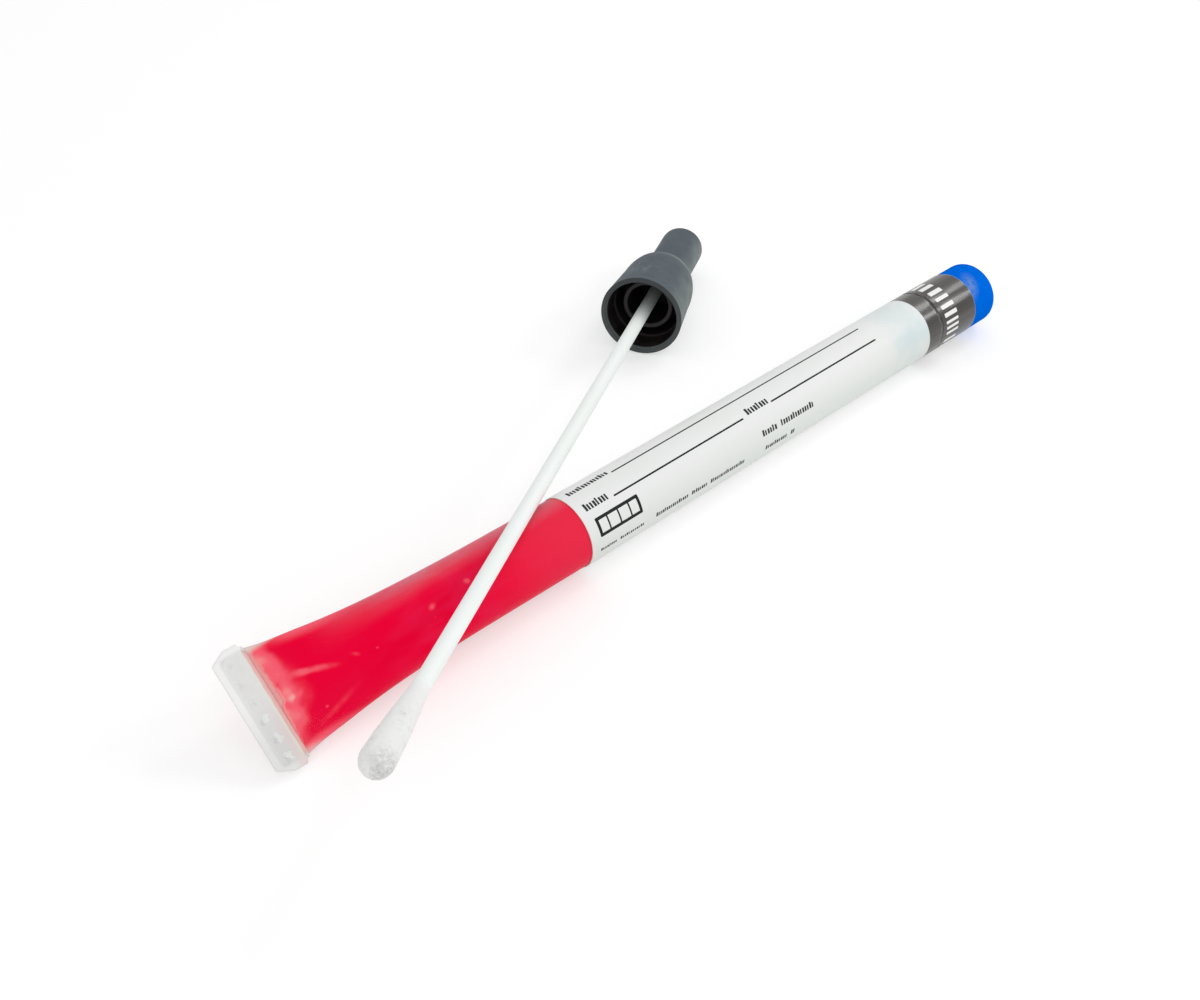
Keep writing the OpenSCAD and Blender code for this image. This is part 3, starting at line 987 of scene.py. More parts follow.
def label_wrap(sizes):
    """The label: one turn of film with its end lapped over its start, at the underside's back."""
    start, end, radius = TUBE.span("label")
    outer = radius - sizes.label_gap
    sleeve = ring(outer, outer - sizes.film_thickness, start, end, FACETS["label"], 60)
    lap_turn, lap_rise = -150.0, 0.012 * MM
    half_lap = math.degrees(sizes.flap / radius) / 2
    lap = patch(start, end, lap_turn - half_lap, lap_turn + half_lap, outer, lap_rise)
    return join([sleeve, lap])


# Print on the label, its stations in mm and its turns from the top in degrees.
# Ruled lines: start, end and turn
RULES = [(-15.0, 48.7, -8.0), (-18.2, 12.5, 29.5), (19.8, 49.1, 28.5)]
# Rows of short upright strokes that stand for words: start, end, turn of the upper and of the lower edge,
# and how many pairs of strokes stand in each word
WORD_ROWS = [
    (-24.2, -15.7, -19.0, -8.5, (7,)),
    (-24.1, -19.3, 17.0, 29.5, (4,)),
    (13.8, 19.2, 16.5, 28.5, (4,)),
    (14.9, 28.3, 61.5, 72.0, (3, 7)),
    (15.5, 23.1, 91.0, 99.5, (5, 1)),
    (-23.9, -14.4, 93.0, 98.5, (4, 6)),
    (-11.5, 9.9, 90.0, 98.0, (8, 4, 9)),
]
# A plain entry box, ruled into cells: start, end, first and last turn, and how many cells
ENTRY_BOX = (-23.7, -14.4, 44.0, 74.0, 4)


def row_of_strokes(start, end, upper, lower, words, radius, thickness):
    """Upright strokes on one base line in word-like groups, some a little taller: a generic line of print."""
    # space between words, in strokes
    space = 1.6
    pitch = (end - start) / (2 * sum(words) + space * (len(words) - 1) - 0.4)
    strokes, x, count = [], start, 0
    for word in words:
        for k in range(2 * word):
            tall = k == 0 or count % 7 == 4
            top = upper if tall else upper + 0.2 * (lower - upper)
            width = pitch * (0.64 + 0.10 * math.sin(2.4 * count + start))
            strokes.append(patch(x * MM, (x + width) * MM, top, lower, radius, thickness))
            x += pitch
            count += 1
        x += space * pitch
    return strokes


def ink_layer(sizes):
    """Radius of the middle of the label's print, and half its thickness."""
    return FILM_R - sizes.label_gap + sizes.ink / 2, sizes.ink / 2


def ruled_print(sizes):
    """The dark print of the label: its ruled lines and the entry box."""
    layer = ink_layer(sizes)
    half_rule = sizes.rule_width / 2
    half_turn = math.degrees(half_rule / layer[0])
    parts = [patch(a * MM, b * MM, turn - half_turn, turn + half_turn, *layer) for a, b, turn in RULES]
    start, end, first, last, cells = ENTRY_BOX
    parts.append(patch(start * MM, end * MM, first, last, *layer, 0.2 * MM, sizes.box_line))
    for station in evenly(start, end, cells)[1:-1]:
        cell = station * MM
        parts.append(patch(cell - half_rule, cell + half_rule, first + 2.0, last - 2.0, *layer))
    return join(parts)


def word_print(sizes):
    """The small print of the label: rows of plain strokes where words would stand."""
    parts = []
    for row in WORD_ROWS:
        parts += row_of_strokes(*row, *ink_layer(sizes))
    return join(parts)


def label_film(colours):
    """White satin film, a little blue where the stopper's stem lies under it, with painted shade on its lower
    front.
    """
    s = Finish("label_film", colours.label, 0.5, 0.15)
    cool_white, stem_blue, lower_shade_grey = (0.82, 0.845, 0.825), (0.62, 0.745, 0.765), (0.755, 0.79, 0.755)
    place, station, turn, _ = s.wrapped(TUBE)
    slow = s.noise(s.stretched(place, 1.0, 1.0, 0.25), 0.3)
    white = s.mix(s.step(slow, 0.3, 0.75, 0.0, 0.6), colours.label, cool_white)
    stem = TUBE.span("stopper")[0] / MM
    over_stem = s.step(station + s.wander(place, 0.35, 3.0), stem - 3.0, stem + 2.5)
    patchy = s.step(s.noise(place, 0.22, 1.0), 0.4, 0.6, 0.5, 1.0)
    under = s.step(turn, 10.0, 75.0, 0.4, 1.0) * patchy
    white = s.mix(over_stem * under, white, stem_blue)
    # painted shade, greyer towards the lower front
    white = s.mix(s.step(turn, 35.0, 95.0) * 0.75, white, lower_shade_grey)
    ripples = s.noise(s.stretched(place, 1.0, 1.0, 0.2), 0.5)
    return s.put(base_color=white,
                 normal=s.bump(s.noise(place, 6.0), 0.006 * MM, 0.5, s.bump(ripples, 0.10 * MM, 0.35)))


def worn_print(name, fresh, worn, roughness, specular, scale, low, share):
    """Print worn in cloudy patches: how small they are, how low they begin, and how far they are worn."""
    s = Finish(name, fresh, roughness, specular)
    patches = s.step(s.noise(s.local(TUBE), scale, 3.0, 0.6), low, 0.75)
    return s.put(base_color=s.mix(patches * share, fresh, worn))


def label_ink(name, fresh, worn):
    """Dark print of the label, worn a little lighter in places."""
    return worn_print(name, fresh, worn, 0.6, 0.05, 1.6, 0.45, 0.5)


class SWABTUBE_OT_label(bpy.types.Operator):
    """Wraps the label round the barrel and prints its lines, its entry box and its rows of strokes"""

    bl_idname = "swabtube.label"
    bl_label = "Label"

    def execute(self, context):
        sizes, colours = context.scene.swabtube_film, context.scene.swabtube_colours
        dark = label_ink("dark_ink", colours.ink, (0.04, 0.042, 0.044))
        grey = label_ink("grey_ink", (0.03, 0.032, 0.034), (0.08, 0.082, 0.084))
        add_piece(label_wrap(sizes), "label_wrap", label_film(colours), TUBE_BODY, TUBE,
                  ["label"])
        add_piece(ruled_print(sizes), "ruled_print", dark, TUBE_BODY, TUBE)
        add_piece(word_print(sizes), "word_print", grey, TUBE_BODY, TUBE)
        return {"FINISHED"}


# ---------------------------------------------------------------- seal film


def tear_offset(turn, sizes):
    """How far the tear line lies from the mouth at a turn in radians."""
    around = Vector((math.cos(turn), math.sin(turn), 0))
    slow = noise.noise(around * 1.3 + Vector((4.2, 1.7, 0)))
    quick = noise.noise(around * 6.0)
    return sizes.tear_wave * (1.6 * slow + 0.5 * quick)


def film_ring(start, end, torn, sizes):
    """One ring of the seal film: folded lengthwise, with a torn edge at the mouth."""
    outer = FILM_R - 0.008 * MM
    bm = ring(outer, outer - sizes.film_thickness * 0.8, start, end, FACETS["film"], 26)
    for vert in bm.verts:
        turn = math.atan2(vert.co.y, vert.co.x)
        share = (vert.co.z - start) / (end - start)
        torn_share = share if torn == "end" else 1 - share
        gap = -sizes.tear_gap / 2 if torn == "end" else sizes.tear_gap / 2
        vert.co.z += (tear_offset(turn, sizes) + gap) * torn_share ** 3
        around = Vector((math.cos(turn) * 5, math.sin(turn) * 5, vert.co.z / (14 * MM)))
        fold = abs(noise.noise(around))
        small = abs(noise.noise(around * 2.7 + Vector((0, 0, 9))))
        # folds stay under the film's radius; edges at the tear stand up to it
        drop = sizes.fold * (0.9 - 1.5 * fold + 0.3 * small)
        draw_in(vert, min(sizes.fold, max(0.0, drop)) * (1 - 0.8 * smooth(torn_share, 0.93, 1.0)))
    return bm


# Plain white blocks on the seal film: first and last turn in degrees, and how many bars stand in each
FILM_BLOCKS = [(-33, -24, 1), (-16, 13, 2), (21, 28, 1), (37, 60, 2), (67, 93, 3), (104, 127, 2),
               (136, 144, 1), (-172, -146, 2), (-136, -112, 3), (-100, -92, 1), (-82, -56, 2)]


def seal_print():
    """White blocks round the seal film, in a plain rhythm of bars."""
    start = MOUTH + 1.35 * MM
    end = start + 3.8 * MM
    radius = FILM_R - 0.005 * MM
    thin, corner = 0.004 * MM, 0.18 * MM
    parts = []
    for first, last, count in FILM_BLOCKS:
        pitch = (last - first) / (2 * count - 1)
        for k in range(count):
            turn = first + 2 * k * pitch
            parts.append(patch(start, end, turn, turn + pitch, radius, thin, corner))
    return join(parts)


def seal_film(colours):
    """Glossy brown-black film with lengthwise creases, and a tear with painted shade in its crease and a
    painted highlight beside it.
    """
    s = Finish("seal_film", colours.film, 0.22, 0.6)
    brown, streak_grey, crease_highlight_grey = (0.056, 0.048, 0.043), (0.14, 0.13, 0.12), (0.15, 0.14, 0.13)
    crease_shade_black, rim_highlight_white = (0.005, 0.004, 0.004), (0.55, 0.50, 0.50)
    place, station, turn, _ = s.wrapped(TUBE)
    lengthwise = s.stretched(place, 1.0, 1.0, 0.05)
    bands, streaks = s.noise(lengthwise, 0.35), s.noise(lengthwise, 1.5, 3.0, 0.6)
    tone = s.mix(s.step(bands, 0.35, 0.7), colours.film, brown)
    tone = s.mix(s.step(streaks, 0.55, 0.78, 0.0, 0.25), tone, streak_grey)
    # the crease over the mouth wanders: a dark broken line of painted shade that fades in front, and a pale
    # painted highlight beside it
    past = station - MOUTH / MM + s.wander(place, 0.45, 1.6)
    broken = s.step(s.noise(place, 0.8), 0.34, 0.52, 0.3, 1.0)
    tone = s.mix(s.line(past, -0.45, 0.35, 0.05) * broken * 0.5, tone, crease_highlight_grey)
    dark = s.line(past, 0.0, 0.45, 0.15) * broken * s.step(turn, 85.0, 50.0, 0.2, 1.0)
    tone = s.mix(dark, tone, crease_shade_black)
    # cut edges of the film, pale at both of its ends as a painted highlight
    lower, upper = TUBE.span("seal_film_lower")[0] / MM, TUBE.span("seal_film_upper")[1] / MM
    rim = s.larger(s.step(station, lower + 0.14, lower), s.step(station, upper - 0.14, upper))
    return s.put(base_color=s.mix(rim * 0.6, tone, rim_highlight_white),
                 roughness=dark * 0.45 + s.step(bands, 0.3, 0.75, 0.2, 0.3),
                 normal=s.bump(s.noise(place, 2.0), 0.012 * MM, 0.35, s.bump(streaks, 0.03 * MM, 0.35)))


def white_print():
    """White print, a little grey and broken at its edges."""
    return worn_print("film_print", (0.88, 0.89, 0.88), (0.62, 0.63, 0.62), 0.45, 0.4, 2.2, 0.5, 0.4)


class SWABTUBE_OT_seal_film(bpy.types.Operator):
    """Shrinks the dark seal film over the tube's mouth and the stopper, torn along the mouth"""

    bl_idname = "swabtube.seal_film"
    bl_label = "Seal film"

    def execute(self, context):
        sizes, colours = context.scene.swabtube_film, context.scene.swabtube_colours
        film = seal_film(colours)
        lower = TUBE.span("seal_film_lower")
        upper = TUBE.span("seal_film_upper")
        add_piece(film_ring(lower[0], lower[1], "end", sizes), "seal_ring_lower", film, TUBE_BODY,
                  TUBE, ["seal_film_lower"])
        add_piece(film_ring(upper[0], upper[1], "start", sizes), "seal_ring_upper", film, STOPPER_BODY,
                  TUBE, ["seal_film_upper"])
        add_piece(seal_print(), "seal_print", white_print(), STOPPER_BODY, TUBE)
        return {"FINISHED"}


# ---------------------------------------------------------------- stopper


def push_stopper():
    """The stopper: a stem with a lead-in, a head with a rounded edge, and a small gate mark on its end."""
    start, end, radius = TUBE.span("stopper")
    stem_r = TUBE_R - 1.15 * MM
    lead_in, edge, bevel, dish = 0.8 * MM, 1.2 * MM, 0.1 * MM, 0.1 * MM
    profile = [(0, start), (stem_r - 1.0 * MM, start)]
    profile += arc(stem_r - lead_in, start + lead_in, lead_in, -75, 0, 5)
    profile += [(stem_r, MOUTH - 0.15 * MM), (stem_r + bevel, MOUTH), (radius - bevel, MOUTH)]
    profile += [(radius, MOUTH + bevel)]
    profile += [(radius, station) for station in evenly(MOUTH, end - edge, 8)[1:-1]]
    profile += arc(radius - edge, end - edge, edge, 0, 84, 10)
    # the end is dished a little, with the stub of the gate in its middle
    profile += [(3.6 * MM, end), (3.4 * MM, end - 0.08 * MM), (3.0 * MM, end - dish)]
    profile += [(0.7 * MM, end - dish), (0.6 * MM, end - 0.02 * MM), (0.45 * MM, end), (0, end)]
    return lathe(profile, FACETS["stopper"])


def stopper_plastic(colours):
    """Bright blue moulded plastic with a faint milky painted highlight on its side."""
    s = Finish("stopper_plastic", colours.blue, 0.6, 0.0)
    second_blue, highlight_blue = (0.0, 0.150, 0.76), (0.13, 0.27, 0.63)
    place, station, turn, _ = s.wrapped(TUBE)
    skin = s.group("Moulded skin", place=place)
    blue = s.mix(s.step(skin["Tone"], 0.3, 0.7), colours.blue, second_blue)
    # the side unrolled flat, at 0.109 mm a degree
    on_side = s.vector(station, turn * 0.109)
    broken = s.step(s.noise(place, 1.1, 3.0, 0.65), 0.3, 0.55, 0.25, 1.0)
    # a soft painted highlight on the side, broken up by a cloud
    side_highlight = s.spot(on_side, (79.0, 3.6), 0.5, (2.4, 4.5)) * broken
    return s.put(base_color=s.mix(side_highlight, blue, highlight_blue), roughness=s.step(side_highlight, 0.0, 1.0, 0.55, 0.7),
                 normal=s.bump(skin["Grain"], 0.012 * MM, 0.5))


class SWABTUBE_OT_stopper(bpy.types.Operator):
    """Turns the blue push-in stopper"""

    bl_idname = "swabtube.stopper"
    bl_label = "Stopper"

    def execute(self, context):
        colours = context.scene.swabtube_colours
        add_piece(push_stopper(), "push_stopper", stopper_plastic(colours), STOPPER_BODY,
                  TUBE, ["stopper"], 30)
        return {"FINISHED"}


# ---------------------------------------------------------------- swab


def cap_outside(sizes):
    """The cap's outline from the pole of its grip, over the shoulder and skirt, to the edge of its mouth."""
    back, mouth, radius = SWAB.span("swab_cap")
    neck = radius - sizes.skirt_draft
    grip_r, round_r = sizes.grip_radius, sizes.grip_round
    grip_top, floor = mouth - sizes.shoulder_length, mouth - sizes.skirt_length
    profile = [(0, back), (1.2 * MM, back), (2.4 * MM, back)]
    profile += arc(grip_r - round_r, back + round_r, round_r, -90, 0, 8)
    profile += [(grip_r, station) for station in evenly(back, grip_top, 10)[2:-1]]
    # a fine bead where the grip meets the shoulder
    profile += [(grip_r, grip_top - 0.2 * MM), (grip_r + 0.08 * MM, grip_top - 0.05 * MM)]
    # the shoulder is a quarter of an oval
    for turn in range(85, -5, -5):
        a = math.radians(turn)
        profile.append((grip_r + (neck - grip_r) * math.cos(a), floor - (floor - grip_top) * math.sin(a)))
    profile += list(zip(evenly(neck, radius, 6), evenly(floor, mouth, 6)))[1:-1]
    lip = 0.2 * MM
    profile += [(radius - 0.02 * MM, mouth - 0.25 * MM)]
    return profile + arc(radius - lip, mouth - lip, lip, 0, 90, 4)


def cap_inside(sizes):
    """The cap's outline on from its mouth: down inside the skirt, over the collar, to the stick's socket."""
    _, mouth, radius = SWAB.span("swab_cap")
    inner = radius - sizes.cap_wall
    floor_r = radius - sizes.skirt_draft - sizes.cap_wall
    floor = mouth - sizes.skirt_length
    slope = (inner - floor_r) / sizes.skirt_length

    def wall(station, proud=0.0):
        return inner - slope * (mouth - station) - proud, station

    lip, edge = 0.14 * MM, 0.25 * MM
    profile = arc(inner + lip, mouth - lip, lip, 90, 180, 4)
    # one fine moulded ring
    mark, half_mark = mouth - 2.4 * MM, 0.16 * MM
    profile += [wall(mark + half_mark), wall(mark, 0.07 * MM), wall(mark - half_mark)]
    profile += [wall(floor + height * MM) for height in (6, 4, 2, 0.3)]
    profile += [(floor_r - edge, floor), (sizes.collar_radius + edge, floor)]
    # the collar, rounded at both sides of its rim
    rim = mouth - sizes.collar_set
    outer_edge, inner_edge = 0.22 * MM, 0.16 * MM
    inside_r = sizes.collar_radius - sizes.collar_wall
    profile += [(sizes.collar_radius, floor + edge), (sizes.collar_radius, (floor + rim) / 2)]
    profile += arc(sizes.collar_radius - outer_edge, rim - outer_edge, outer_edge, 0, 90, 4)
    profile += arc(inside_r + inner_edge, rim - inner_edge, inner_edge, 90, 180, 4)
    # the hollow, with the stick in the middle of its bottom
    bottom = mouth - sizes.hollow_depth
    socket, socket_r = SWAB.span("swab_shaft")[0], STICK_R + 0.02 * MM
    profile += [(inside_r, rim - 3 * MM), (inside_r, rim - 6 * MM), (inside_r, bottom + 0.3 * MM)]
    profile += [(inside_r - 0.3 * MM, bottom), (STICK_R + 0.5 * MM, bottom), (socket_r, bottom)]
    return profile + [(socket_r, socket), (0, socket)]


def grip_cap(sizes):
    """The cap: a finger grip, a rounded shoulder and a skirt, with a collar and a hollow inside."""
    return lathe(cap_outside(sizes) + cap_inside(sizes), FACETS["cap"])


def cap_plastic(sizes, colours):
    """Slate-grey matte plastic, scuffed on its shoulder, bluer on top, with painted light: a painted
    reflection paler on its sides, a painted highlight on its shoulder's crest, and painted shade on its
    mouth's face and inside.
    """
    s = Finish("cap_plastic", colours.grey, 0.6, 0.12)
    side_reflection_grey, blue_grey, scuffed = (0.190, 0.220, 0.210), (0.120, 0.145, 0.165), (0.205, 0.235, 0.265)
    crest_highlight_grey, face_shade_grey, collar_rim_light = (0.24, 0.275, 0.265), (0.050, 0.055, 0.056), (0.050, 0.045, 0.048)
    black, paler_inside_shade = (0.006, 0.004, 0.004), (0.014, 0.011, 0.011)
    place, station, turn, radius = s.wrapped(SWAB)
    skin = s.group("Moulded skin", place=place)
    # paler and greener on both sides, least on top: a painted reflection of the white surroundings
    around = abs(turn + s.wander(place, 0.25, 60.0))
    tone = s.mix(s.step(around, 30.0, 95.0), colours.grey, side_reflection_grey)
    tone = s.mix(s.step(skin["Tone"], 0.35, 0.7, 0.0, 0.4), tone, blue_grey)
    # scuffs on the upper side of the shoulder, which is unrolled flat at 0.12 mm a degree
    spot = s.spot(s.vector(station, turn * 0.12), (-6.5, 3.2), 0.3, (6.0, 7.0))
    marks = s.step(s.noise(s.stretched(place, 0.5, 1.0, 0.4), 0.8, 4.0, 0.6), 0.42, 0.72)
    tone = s.mix(s.larger(spot * marks, skin["Scuff"] * 0.5) * 0.55, tone, scuffed)
    # a pale crest round the shoulder, below where the grip begins: a painted highlight, strongest on one side
    crest = sizes.shoulder_length / MM
    crest_highlight = s.step(station, 4.6 - crest, 1.4 - crest) * s.step(station, -crest - 0.3, 0.3 - crest)
    tone = s.mix(crest_highlight * s.step(turn, 20.0, -45.0, 0.15, 0.85), tone, crest_highlight_grey)
    # painted shade: the mouth's face and the unlit inside are darker
    tone = s.mix(s.step(station, -0.32, -0.12, 0.0, 0.85), tone, face_shade_grey)
    wall_inside = s.math("LESS_THAN", radius, s.step(station, -10.5, 0.0, 6.75, 7.55))
    in_hollow = s.math("GREATER_THAN", station, -15.4)
    inside = s.step(station, -0.25, -1.2) * wall_inside * in_hollow
    dark = s.mix(s.step(skin["Tone"], 0.3, 0.7), black, paler_inside_shade)
    # the collar's rim, facing out, is painted less deeply shaded
    dark = s.mix(s.line(station, -5.25, 0.6, 0.25), dark, collar_rim_light)
    return s.put(base_color=s.mix(inside, tone, dark), roughness=s.step(skin["Tone"], 0.2, 0.8, 0.55, 0.68),
                 normal=s.bump(skin["Grain"], 0.02 * MM, 0.5))


def stick_rod():
    """The stick: a moulded rod with two faint parting lines and rounded ends."""
    start, end, radius = SWAB.span("swab_shaft")
    edge = 0.3 * MM
    profile = [(0, start)]
    profile += arc(radius - edge, start + edge, edge, -90, 0, 4)
    profile += [(radius, station) for station in evenly(start, end, 90)[1:-1]]
    profile += arc(radius - edge, end - edge, edge, 0, 90, 4)
    bm = lathe(profile + [(0, end)], FACETS["stick"])
    for vert in bm.verts:
        flat = vert.co.xy
        if flat.length > radius / 2:
            turn = math.atan2(flat.y, flat.x)
            line = max(0.0, 1 - abs(math.cos(turn - 0.6)) / 0.12)
            uneven = noise.noise(Vector((0, 0, vert.co.z / (9 * MM))))
            draw_in(vert, 0.012 * MM * (1 - line) + 0.006 * MM * uneven)
    return bm


def stick_plastic(colours):
    """White plastic that lets a little light through, cloudy along its length and darker inside the cap."""
    s = Finish("stick_plastic", colours.stick, 0.5, 0.15)
    cool_white, shade_green = (0.89, 0.935, 0.91), (0.41, 0.47, 0.44)
    place, station, _, _ = s.wrapped(SWAB)
    skin = s.group("Moulded skin", place=place)
    slow = s.noise(s.stretched(place, 1.0, 1.0, 0.08), 0.8)
    white = s.mix(s.step(slow, 0.3, 0.7), colours.stick, cool_white)
    drawn = s.noise(s.stretched(place, 3.0, 3.0, 0.12), 1.0)
    return s.put(base_color=s.mix(s.step(station, 4.0, -5.0, 0.0, 0.9), white, shade_green),
                 normal=s.bump(skin["Grain"], 0.006 * MM, 0.4, s.bump(drawn, 0.02 * MM, 0.3)))


# Share of the bud that is a thin film of fibre drawn out along the stick
NECK_SHARE = 0.09


def bud_station(share):
    """Station at a share of the bud's length."""
    return BUD_START + (BUD_END - BUD_START) * share


def bud_radius(share, neck_r):
    """Radius of the bud at a share of its length: a thin neck, then a full belly with a round tip."""
    tip = 1 - BUD_R / (BUD_END - BUD_START)
    if share < tip:
        t = max(0.0, (share - NECK_SHARE) / (tip - NECK_SHARE))
        return neck_r + (BUD_R - neck_r) * (0.35 * t + 0.65 * math.sin(QUARTER * t))
    t = (share - tip) / (1 - tip)
    return BUD_R * math.sqrt(max(0.0, 1 - t * t))


def neck_radius(share):
    """Radius where the film of fibre begins: flush with the stick, and 0.02 mm proud at the neck's end."""
    return STICK_R + 0.002 * MM + 0.018 * MM * min(1.0, share / NECK_SHARE)


def wound_bud():
    """The bud: layers of fibre wound on the stick, uneven and a little lumpy."""
    rows = 84
    shares = [1 - (1 - k / rows) ** 1.25 for k in range(rows)]
    profile = [(0, BUD_START)]
    profile += [(bud_radius(share, neck_radius(share)), bud_station(share)) for share in shares]
    bm = lathe(profile + [(0, BUD_END)], FACETS["bud"])
    for vert in bm.verts:
        if vert.co.xy.length < 1e-7:
            continue
        turn = math.atan2(vert.co.y, vert.co.x)
        wound = Vector((math.cos(turn), math.sin(turn), vert.co.z / (2.2 * MM)))
        lump = noise.noise(wound * 1.4)
        layer = noise.noise(Vector((wound.x * 2.0, wound.y * 2.0, vert.co.z / (0.45 * MM) + 1.3 * turn)))
        fine = noise.noise(vert.co / (0.30 * MM))
        share = (vert.co.z - BUD_START) / (BUD_END - BUD_START)
        hollow = max(0.0, 0.02 + 0.035 * lump + 0.004 * layer + 0.010 * fine)
        drop = hollow * MM * smooth(share, NECK_SHARE, 0.5)
        draw_in(vert, drop)
        vert.co.z -= drop * smooth(share, 0.9, 1.0)
    return bm


def loose_strands(sizes):
    """Fine fibres that lie round the bud, their ends a little loose."""
    neck_r = STICK_R + 0.02 * MM
    # the fibres lie this far inside the bud's plain outline, as its lumps do
    sunk = 0.028 * MM
    draw = random.Random(11)
    curve = bpy.data.curves.new("bud_strands", "CURVE")
    curve.dimensions = "3D"
    curve.bevel_depth = 0.011 * MM
    curve.bevel_resolution = 0
    curve.use_fill_caps = True
    for _ in range(sizes.strands):
        share = draw.uniform(0.12, 0.985) ** 0.8
        turn = draw.uniform(0, math.tau)
        sweep = draw.uniform(0.35, 1.3) * draw.choice((-1, 1))
        rise = draw.gauss(0, 0.045)
        lift = draw.uniform(0.1, 1.0) ** 2 * sizes.fuzz
        points = []
        for t in evenly(0, 1, 7):
            at = min(0.997, max(0.005, share + rise * (t - 0.5)))
            loose = lift * max(0.0, abs(2 * t - 1) - 0.35) ** 2
            r = bud_radius(at, neck_r) - sunk + loose
            angle = turn + sweep * t
            points.append((r * math.cos(angle), r * math.sin(angle), bud_station(at), 1))
        spline = curve.splines.new("POLY")
        spline.points.add(len(points) - 1)
        for point, co in zip(spline.points, points):
            point.co = co
    holder = bpy.data.objects.new("bud_strands_curve", curve)
    bpy.context.scene.collection.objects.link(holder)
    shape = holder.evaluated_get(bpy.context.evaluated_depsgraph_get())
    bm = bmesh.new()
    mesh = bpy.data.meshes.new_from_object(shape)
    bm.from_mesh(mesh)
    bpy.data.objects.remove(holder)
    bpy.data.curves.remove(curve)
    bpy.data.meshes.remove(mesh)
    return bm


def bud_fibre(colours, name, shade):
    """Wound white fibre, matte, with grey mottled clumps near its tip, deepened on one side as painted shade.
    """
    s = Finish(name, colours.fibre, 0.9, 0.15)
    s.put(sheen_weight=0.15, sheen_roughness=0.6)
    start, tip = BUD_START / MM, BUD_END / MM
    place, station, turn, _ = s.wrapped(SWAB)
    # grey clumps near the tip, a painted shade that is deeper on one side
    near_tip = s.step(station, tip - 5.0, tip - 1.0) * s.step(turn, 15.0, -50.0, 0.25, 1.0)
    clumps = s.step(s.noise(place, 2.0, 4.0, 0.65), 0.25, 0.7)
    white = s.mix(clumps * s.step(near_tip, 0.0, 1.0, 0.05, shade), colours.fibre, (0.46, 0.46, 0.455))
    wound = s.noise(s.stretched(place, 1.2, 1.2, 5.0), 1.1, 3.0, 0.6)
    fine = s.noise(place, 6.0, 3.0, 0.7)
    return s.put(base_color=s.mix(s.step(station, start, start + 2.5), colours.stick, white),
                 normal=s.bump(fine, 0.02 * MM, 0.5, s.bump(wound, 0.008 * MM, 0.3)))


class SWABTUBE_OT_swab(bpy.types.Operator):
    """Builds the swab: its cap with skirt, collar and grip, its stick and its wound bud"""

    bl_idname = "swabtube.swab"
    bl_label = "Swab"

    def execute(self, context):
        sizes, colours = context.scene.swabtube_swab, context.scene.swabtube_colours
        add_piece(grip_cap(sizes), "grip_cap", cap_plastic(sizes, colours), TUBE_BODY,
                  SWAB, ["swab_cap"], 32)
        add_piece(stick_rod(), "stick_rod", stick_plastic(colours), TUBE_BODY, SWAB,
                  ["swab_shaft"])
        add_piece(wound_bud(), "wound_bud", bud_fibre(colours, "bud_fibre", 0.75), TUBE_BODY,
                  SWAB, ["swab_bud"], 60)
        add_piece(loose_strands(sizes), "bud_strands", bud_fibre(colours, "bud_strands", 0.35), TUBE_BODY,
                  SWAB, (), 180)
        return {"FINISHED"}


# ---------------------------------------------------------------- stage


def floor_material():
    """Plain pale floor that shows white where it is seen and keeps the object's shadow."""
    pale, seen_grey = (0.93, 0.93, 0.93), (0.58, 0.58, 0.58)
    s = Finish("floor", pale, 0.9, 0.1)
    seen = s.seen()
    return s.put(base_color=s.mix(seen, pale, seen_grey), emission_color=(1, 1, 1, 1),
                 emission_strength=seen * 0.49)


def white_sky(strength):
    """White surroundings: plain white where they are seen, and softer as light."""
    world = bpy.data.worlds.new("surroundings")
    world.use_nodes = True
    s = Shade(world.node_tree)
    background = world.node_tree.nodes["Background"].inputs
    s.feed(background["Color"], (1, 1, 1, 1))
    s.feed(background["Strength"], s.step(s.seen(), 0.0, 1.0, strength, 1.0))
    return world


def add_lamp(name, place, size, power):
    """A square soft lamp that looks at the middle of the surface."""
    data = bpy.data.lights.new(name, "AREA")
    data.shape = "SQUARE"
    data.size = size
    data.energy = power
    lamp = bpy.data.objects.new(name, data)
    lamp.location = place
    lamp.rotation_euler = (-place).to_track_quat("-Z", "Y").to_euler()
    bpy.context.scene.collection.objects.link(lamp)


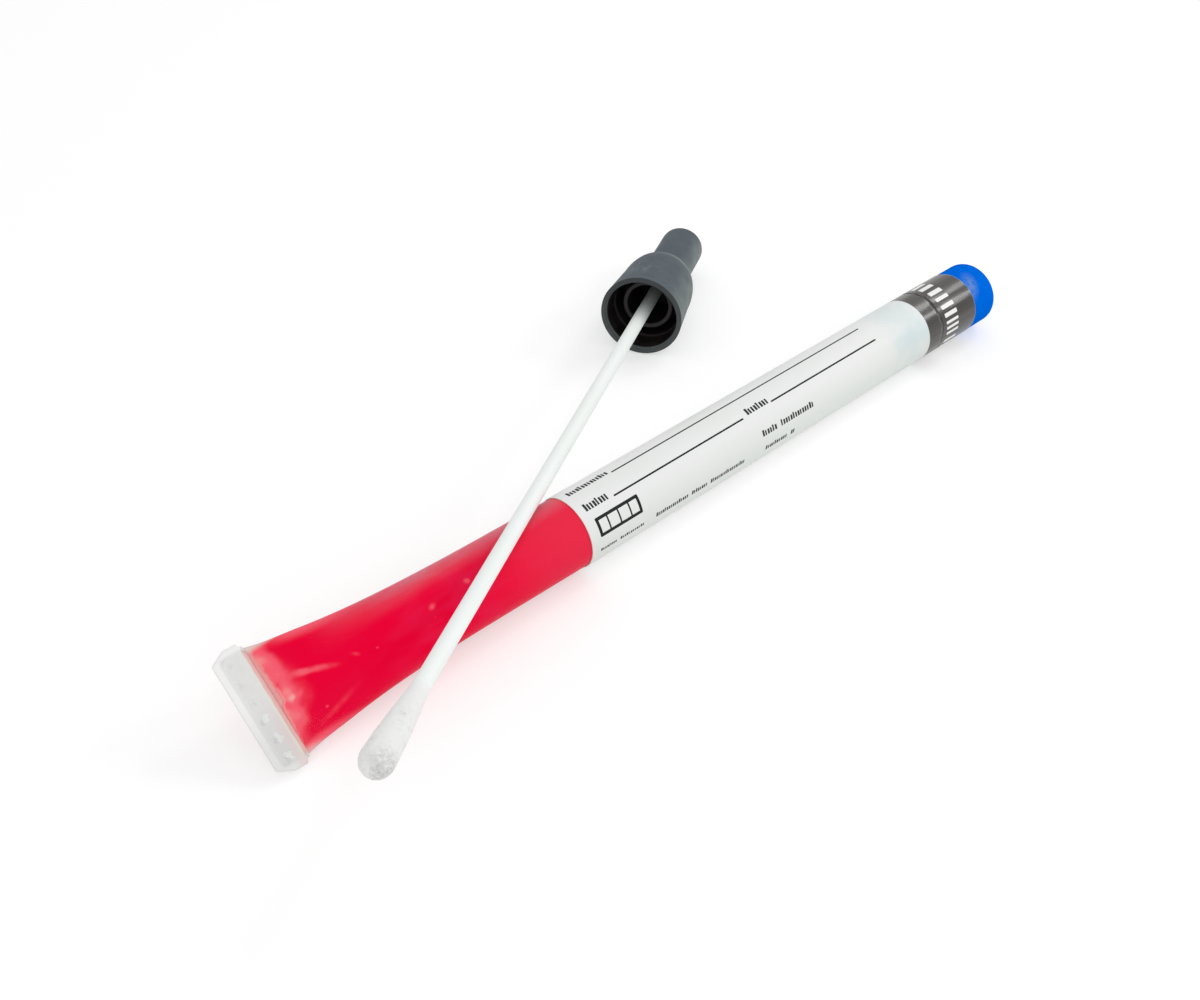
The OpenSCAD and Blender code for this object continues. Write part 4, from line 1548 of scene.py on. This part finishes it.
class SWABTUBE_OT_stage(bpy.types.Operator):
    """Sets the camera, the pale floor, the white surroundings and three soft lamps"""

    bl_idname = "swabtube.stage"
    bl_label = "Stage"

    def execute(self, context):
        sizes, scene = context.scene.swabtube_stage, context.scene
        camera_data = bpy.data.cameras.new("camera")
        camera_data.lens = sizes.lens
        camera_data.sensor_width = 36
        camera_data.clip_start = 0.005
        camera = bpy.data.objects.new("camera", camera_data)
        camera.location = sizes.camera_place
        look = Vector(sizes.camera_aim) - Vector(sizes.camera_place)
        camera.rotation_euler = look.to_track_quat("-Z", "Y").to_euler()
        scene.collection.objects.link(camera)
        scene.camera = camera

        bm = bmesh.new()
        bmesh.ops.create_circle(bm, cap_ends=True, segments=96, radius=3.0)
        mesh = bpy.data.meshes.new("floor")
        bm.to_mesh(mesh)
        bm.free()
        mesh.materials.append(floor_material())
        floor = bpy.data.objects.new("floor", mesh)
        scene.collection.objects.link(floor)

        for name, direction, size, power in (
                ("upper_side_lamp", (0.72, -0.03, 0.69), 0.16, sizes.side_power),
                ("lower_side_lamp", (0.72, -0.44, 0.53), 0.16, sizes.side_power),
                ("front_lamp", (-0.55, -0.62, 0.56), 0.5, sizes.front_power)):
            add_lamp(name, Vector(direction) * sizes.lamp_distance, size, power)

        scene.world = white_sky(sizes.sky)
        scene.view_settings.view_transform = "Standard"
        return {"FINISHED"}


# ---------------------------------------------------------------- add-on


class SWABTUBE_PT_panel(bpy.types.Panel):
    """Lists the pieces of the swab tube"""

    bl_label = "Swab Tube"
    bl_idname = "SWABTUBE_PT_panel"
    bl_space_type = "VIEW_3D"
    bl_region_type = "UI"
    bl_category = "Swab Tube"

    def draw(self, context):
        for operator in OPERATORS:
            self.layout.operator(operator.bl_idname)
        for name in SIZES:
            group = getattr(context.scene, name)
            for field in group.bl_rna.properties:
                if field.identifier not in ("rna_type", "name"):
                    self.layout.prop(group, field.identifier)


SIZES = {
    "swabtube_tube": TubeSizes,
    "swabtube_film": FilmSizes,
    "swabtube_swab": SwabSizes,
    "swabtube_colours": SetColours,
    "swabtube_stage": StageSizes,
}
OPERATORS = [SWABTUBE_OT_stage, SWABTUBE_OT_tube, SWABTUBE_OT_label, SWABTUBE_OT_seal_film,
             SWABTUBE_OT_stopper, SWABTUBE_OT_swab]


def register():
    for group in (*SIZES.values(), *OPERATORS, SWABTUBE_PT_panel):
        bpy.utils.register_class(group)
    for name, group in SIZES.items():
        setattr(bpy.types.Scene, name, PointerProperty(type=group))


def unregister():
    for name in SIZES:
        delattr(bpy.types.Scene, name)
    for group in (SWABTUBE_PT_panel, *reversed(OPERATORS), *reversed(SIZES.values())):
        bpy.utils.unregister_class(group)


def main():
    """Registers the add-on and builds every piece."""
    register()
    bpy.ops.swabtube.stage()
    bpy.ops.swabtube.tube()
    bpy.ops.swabtube.label()
    bpy.ops.swabtube.seal_film()
    bpy.ops.swabtube.stopper()
    bpy.ops.swabtube.swab()


if __name__ == "__main__":
    main()
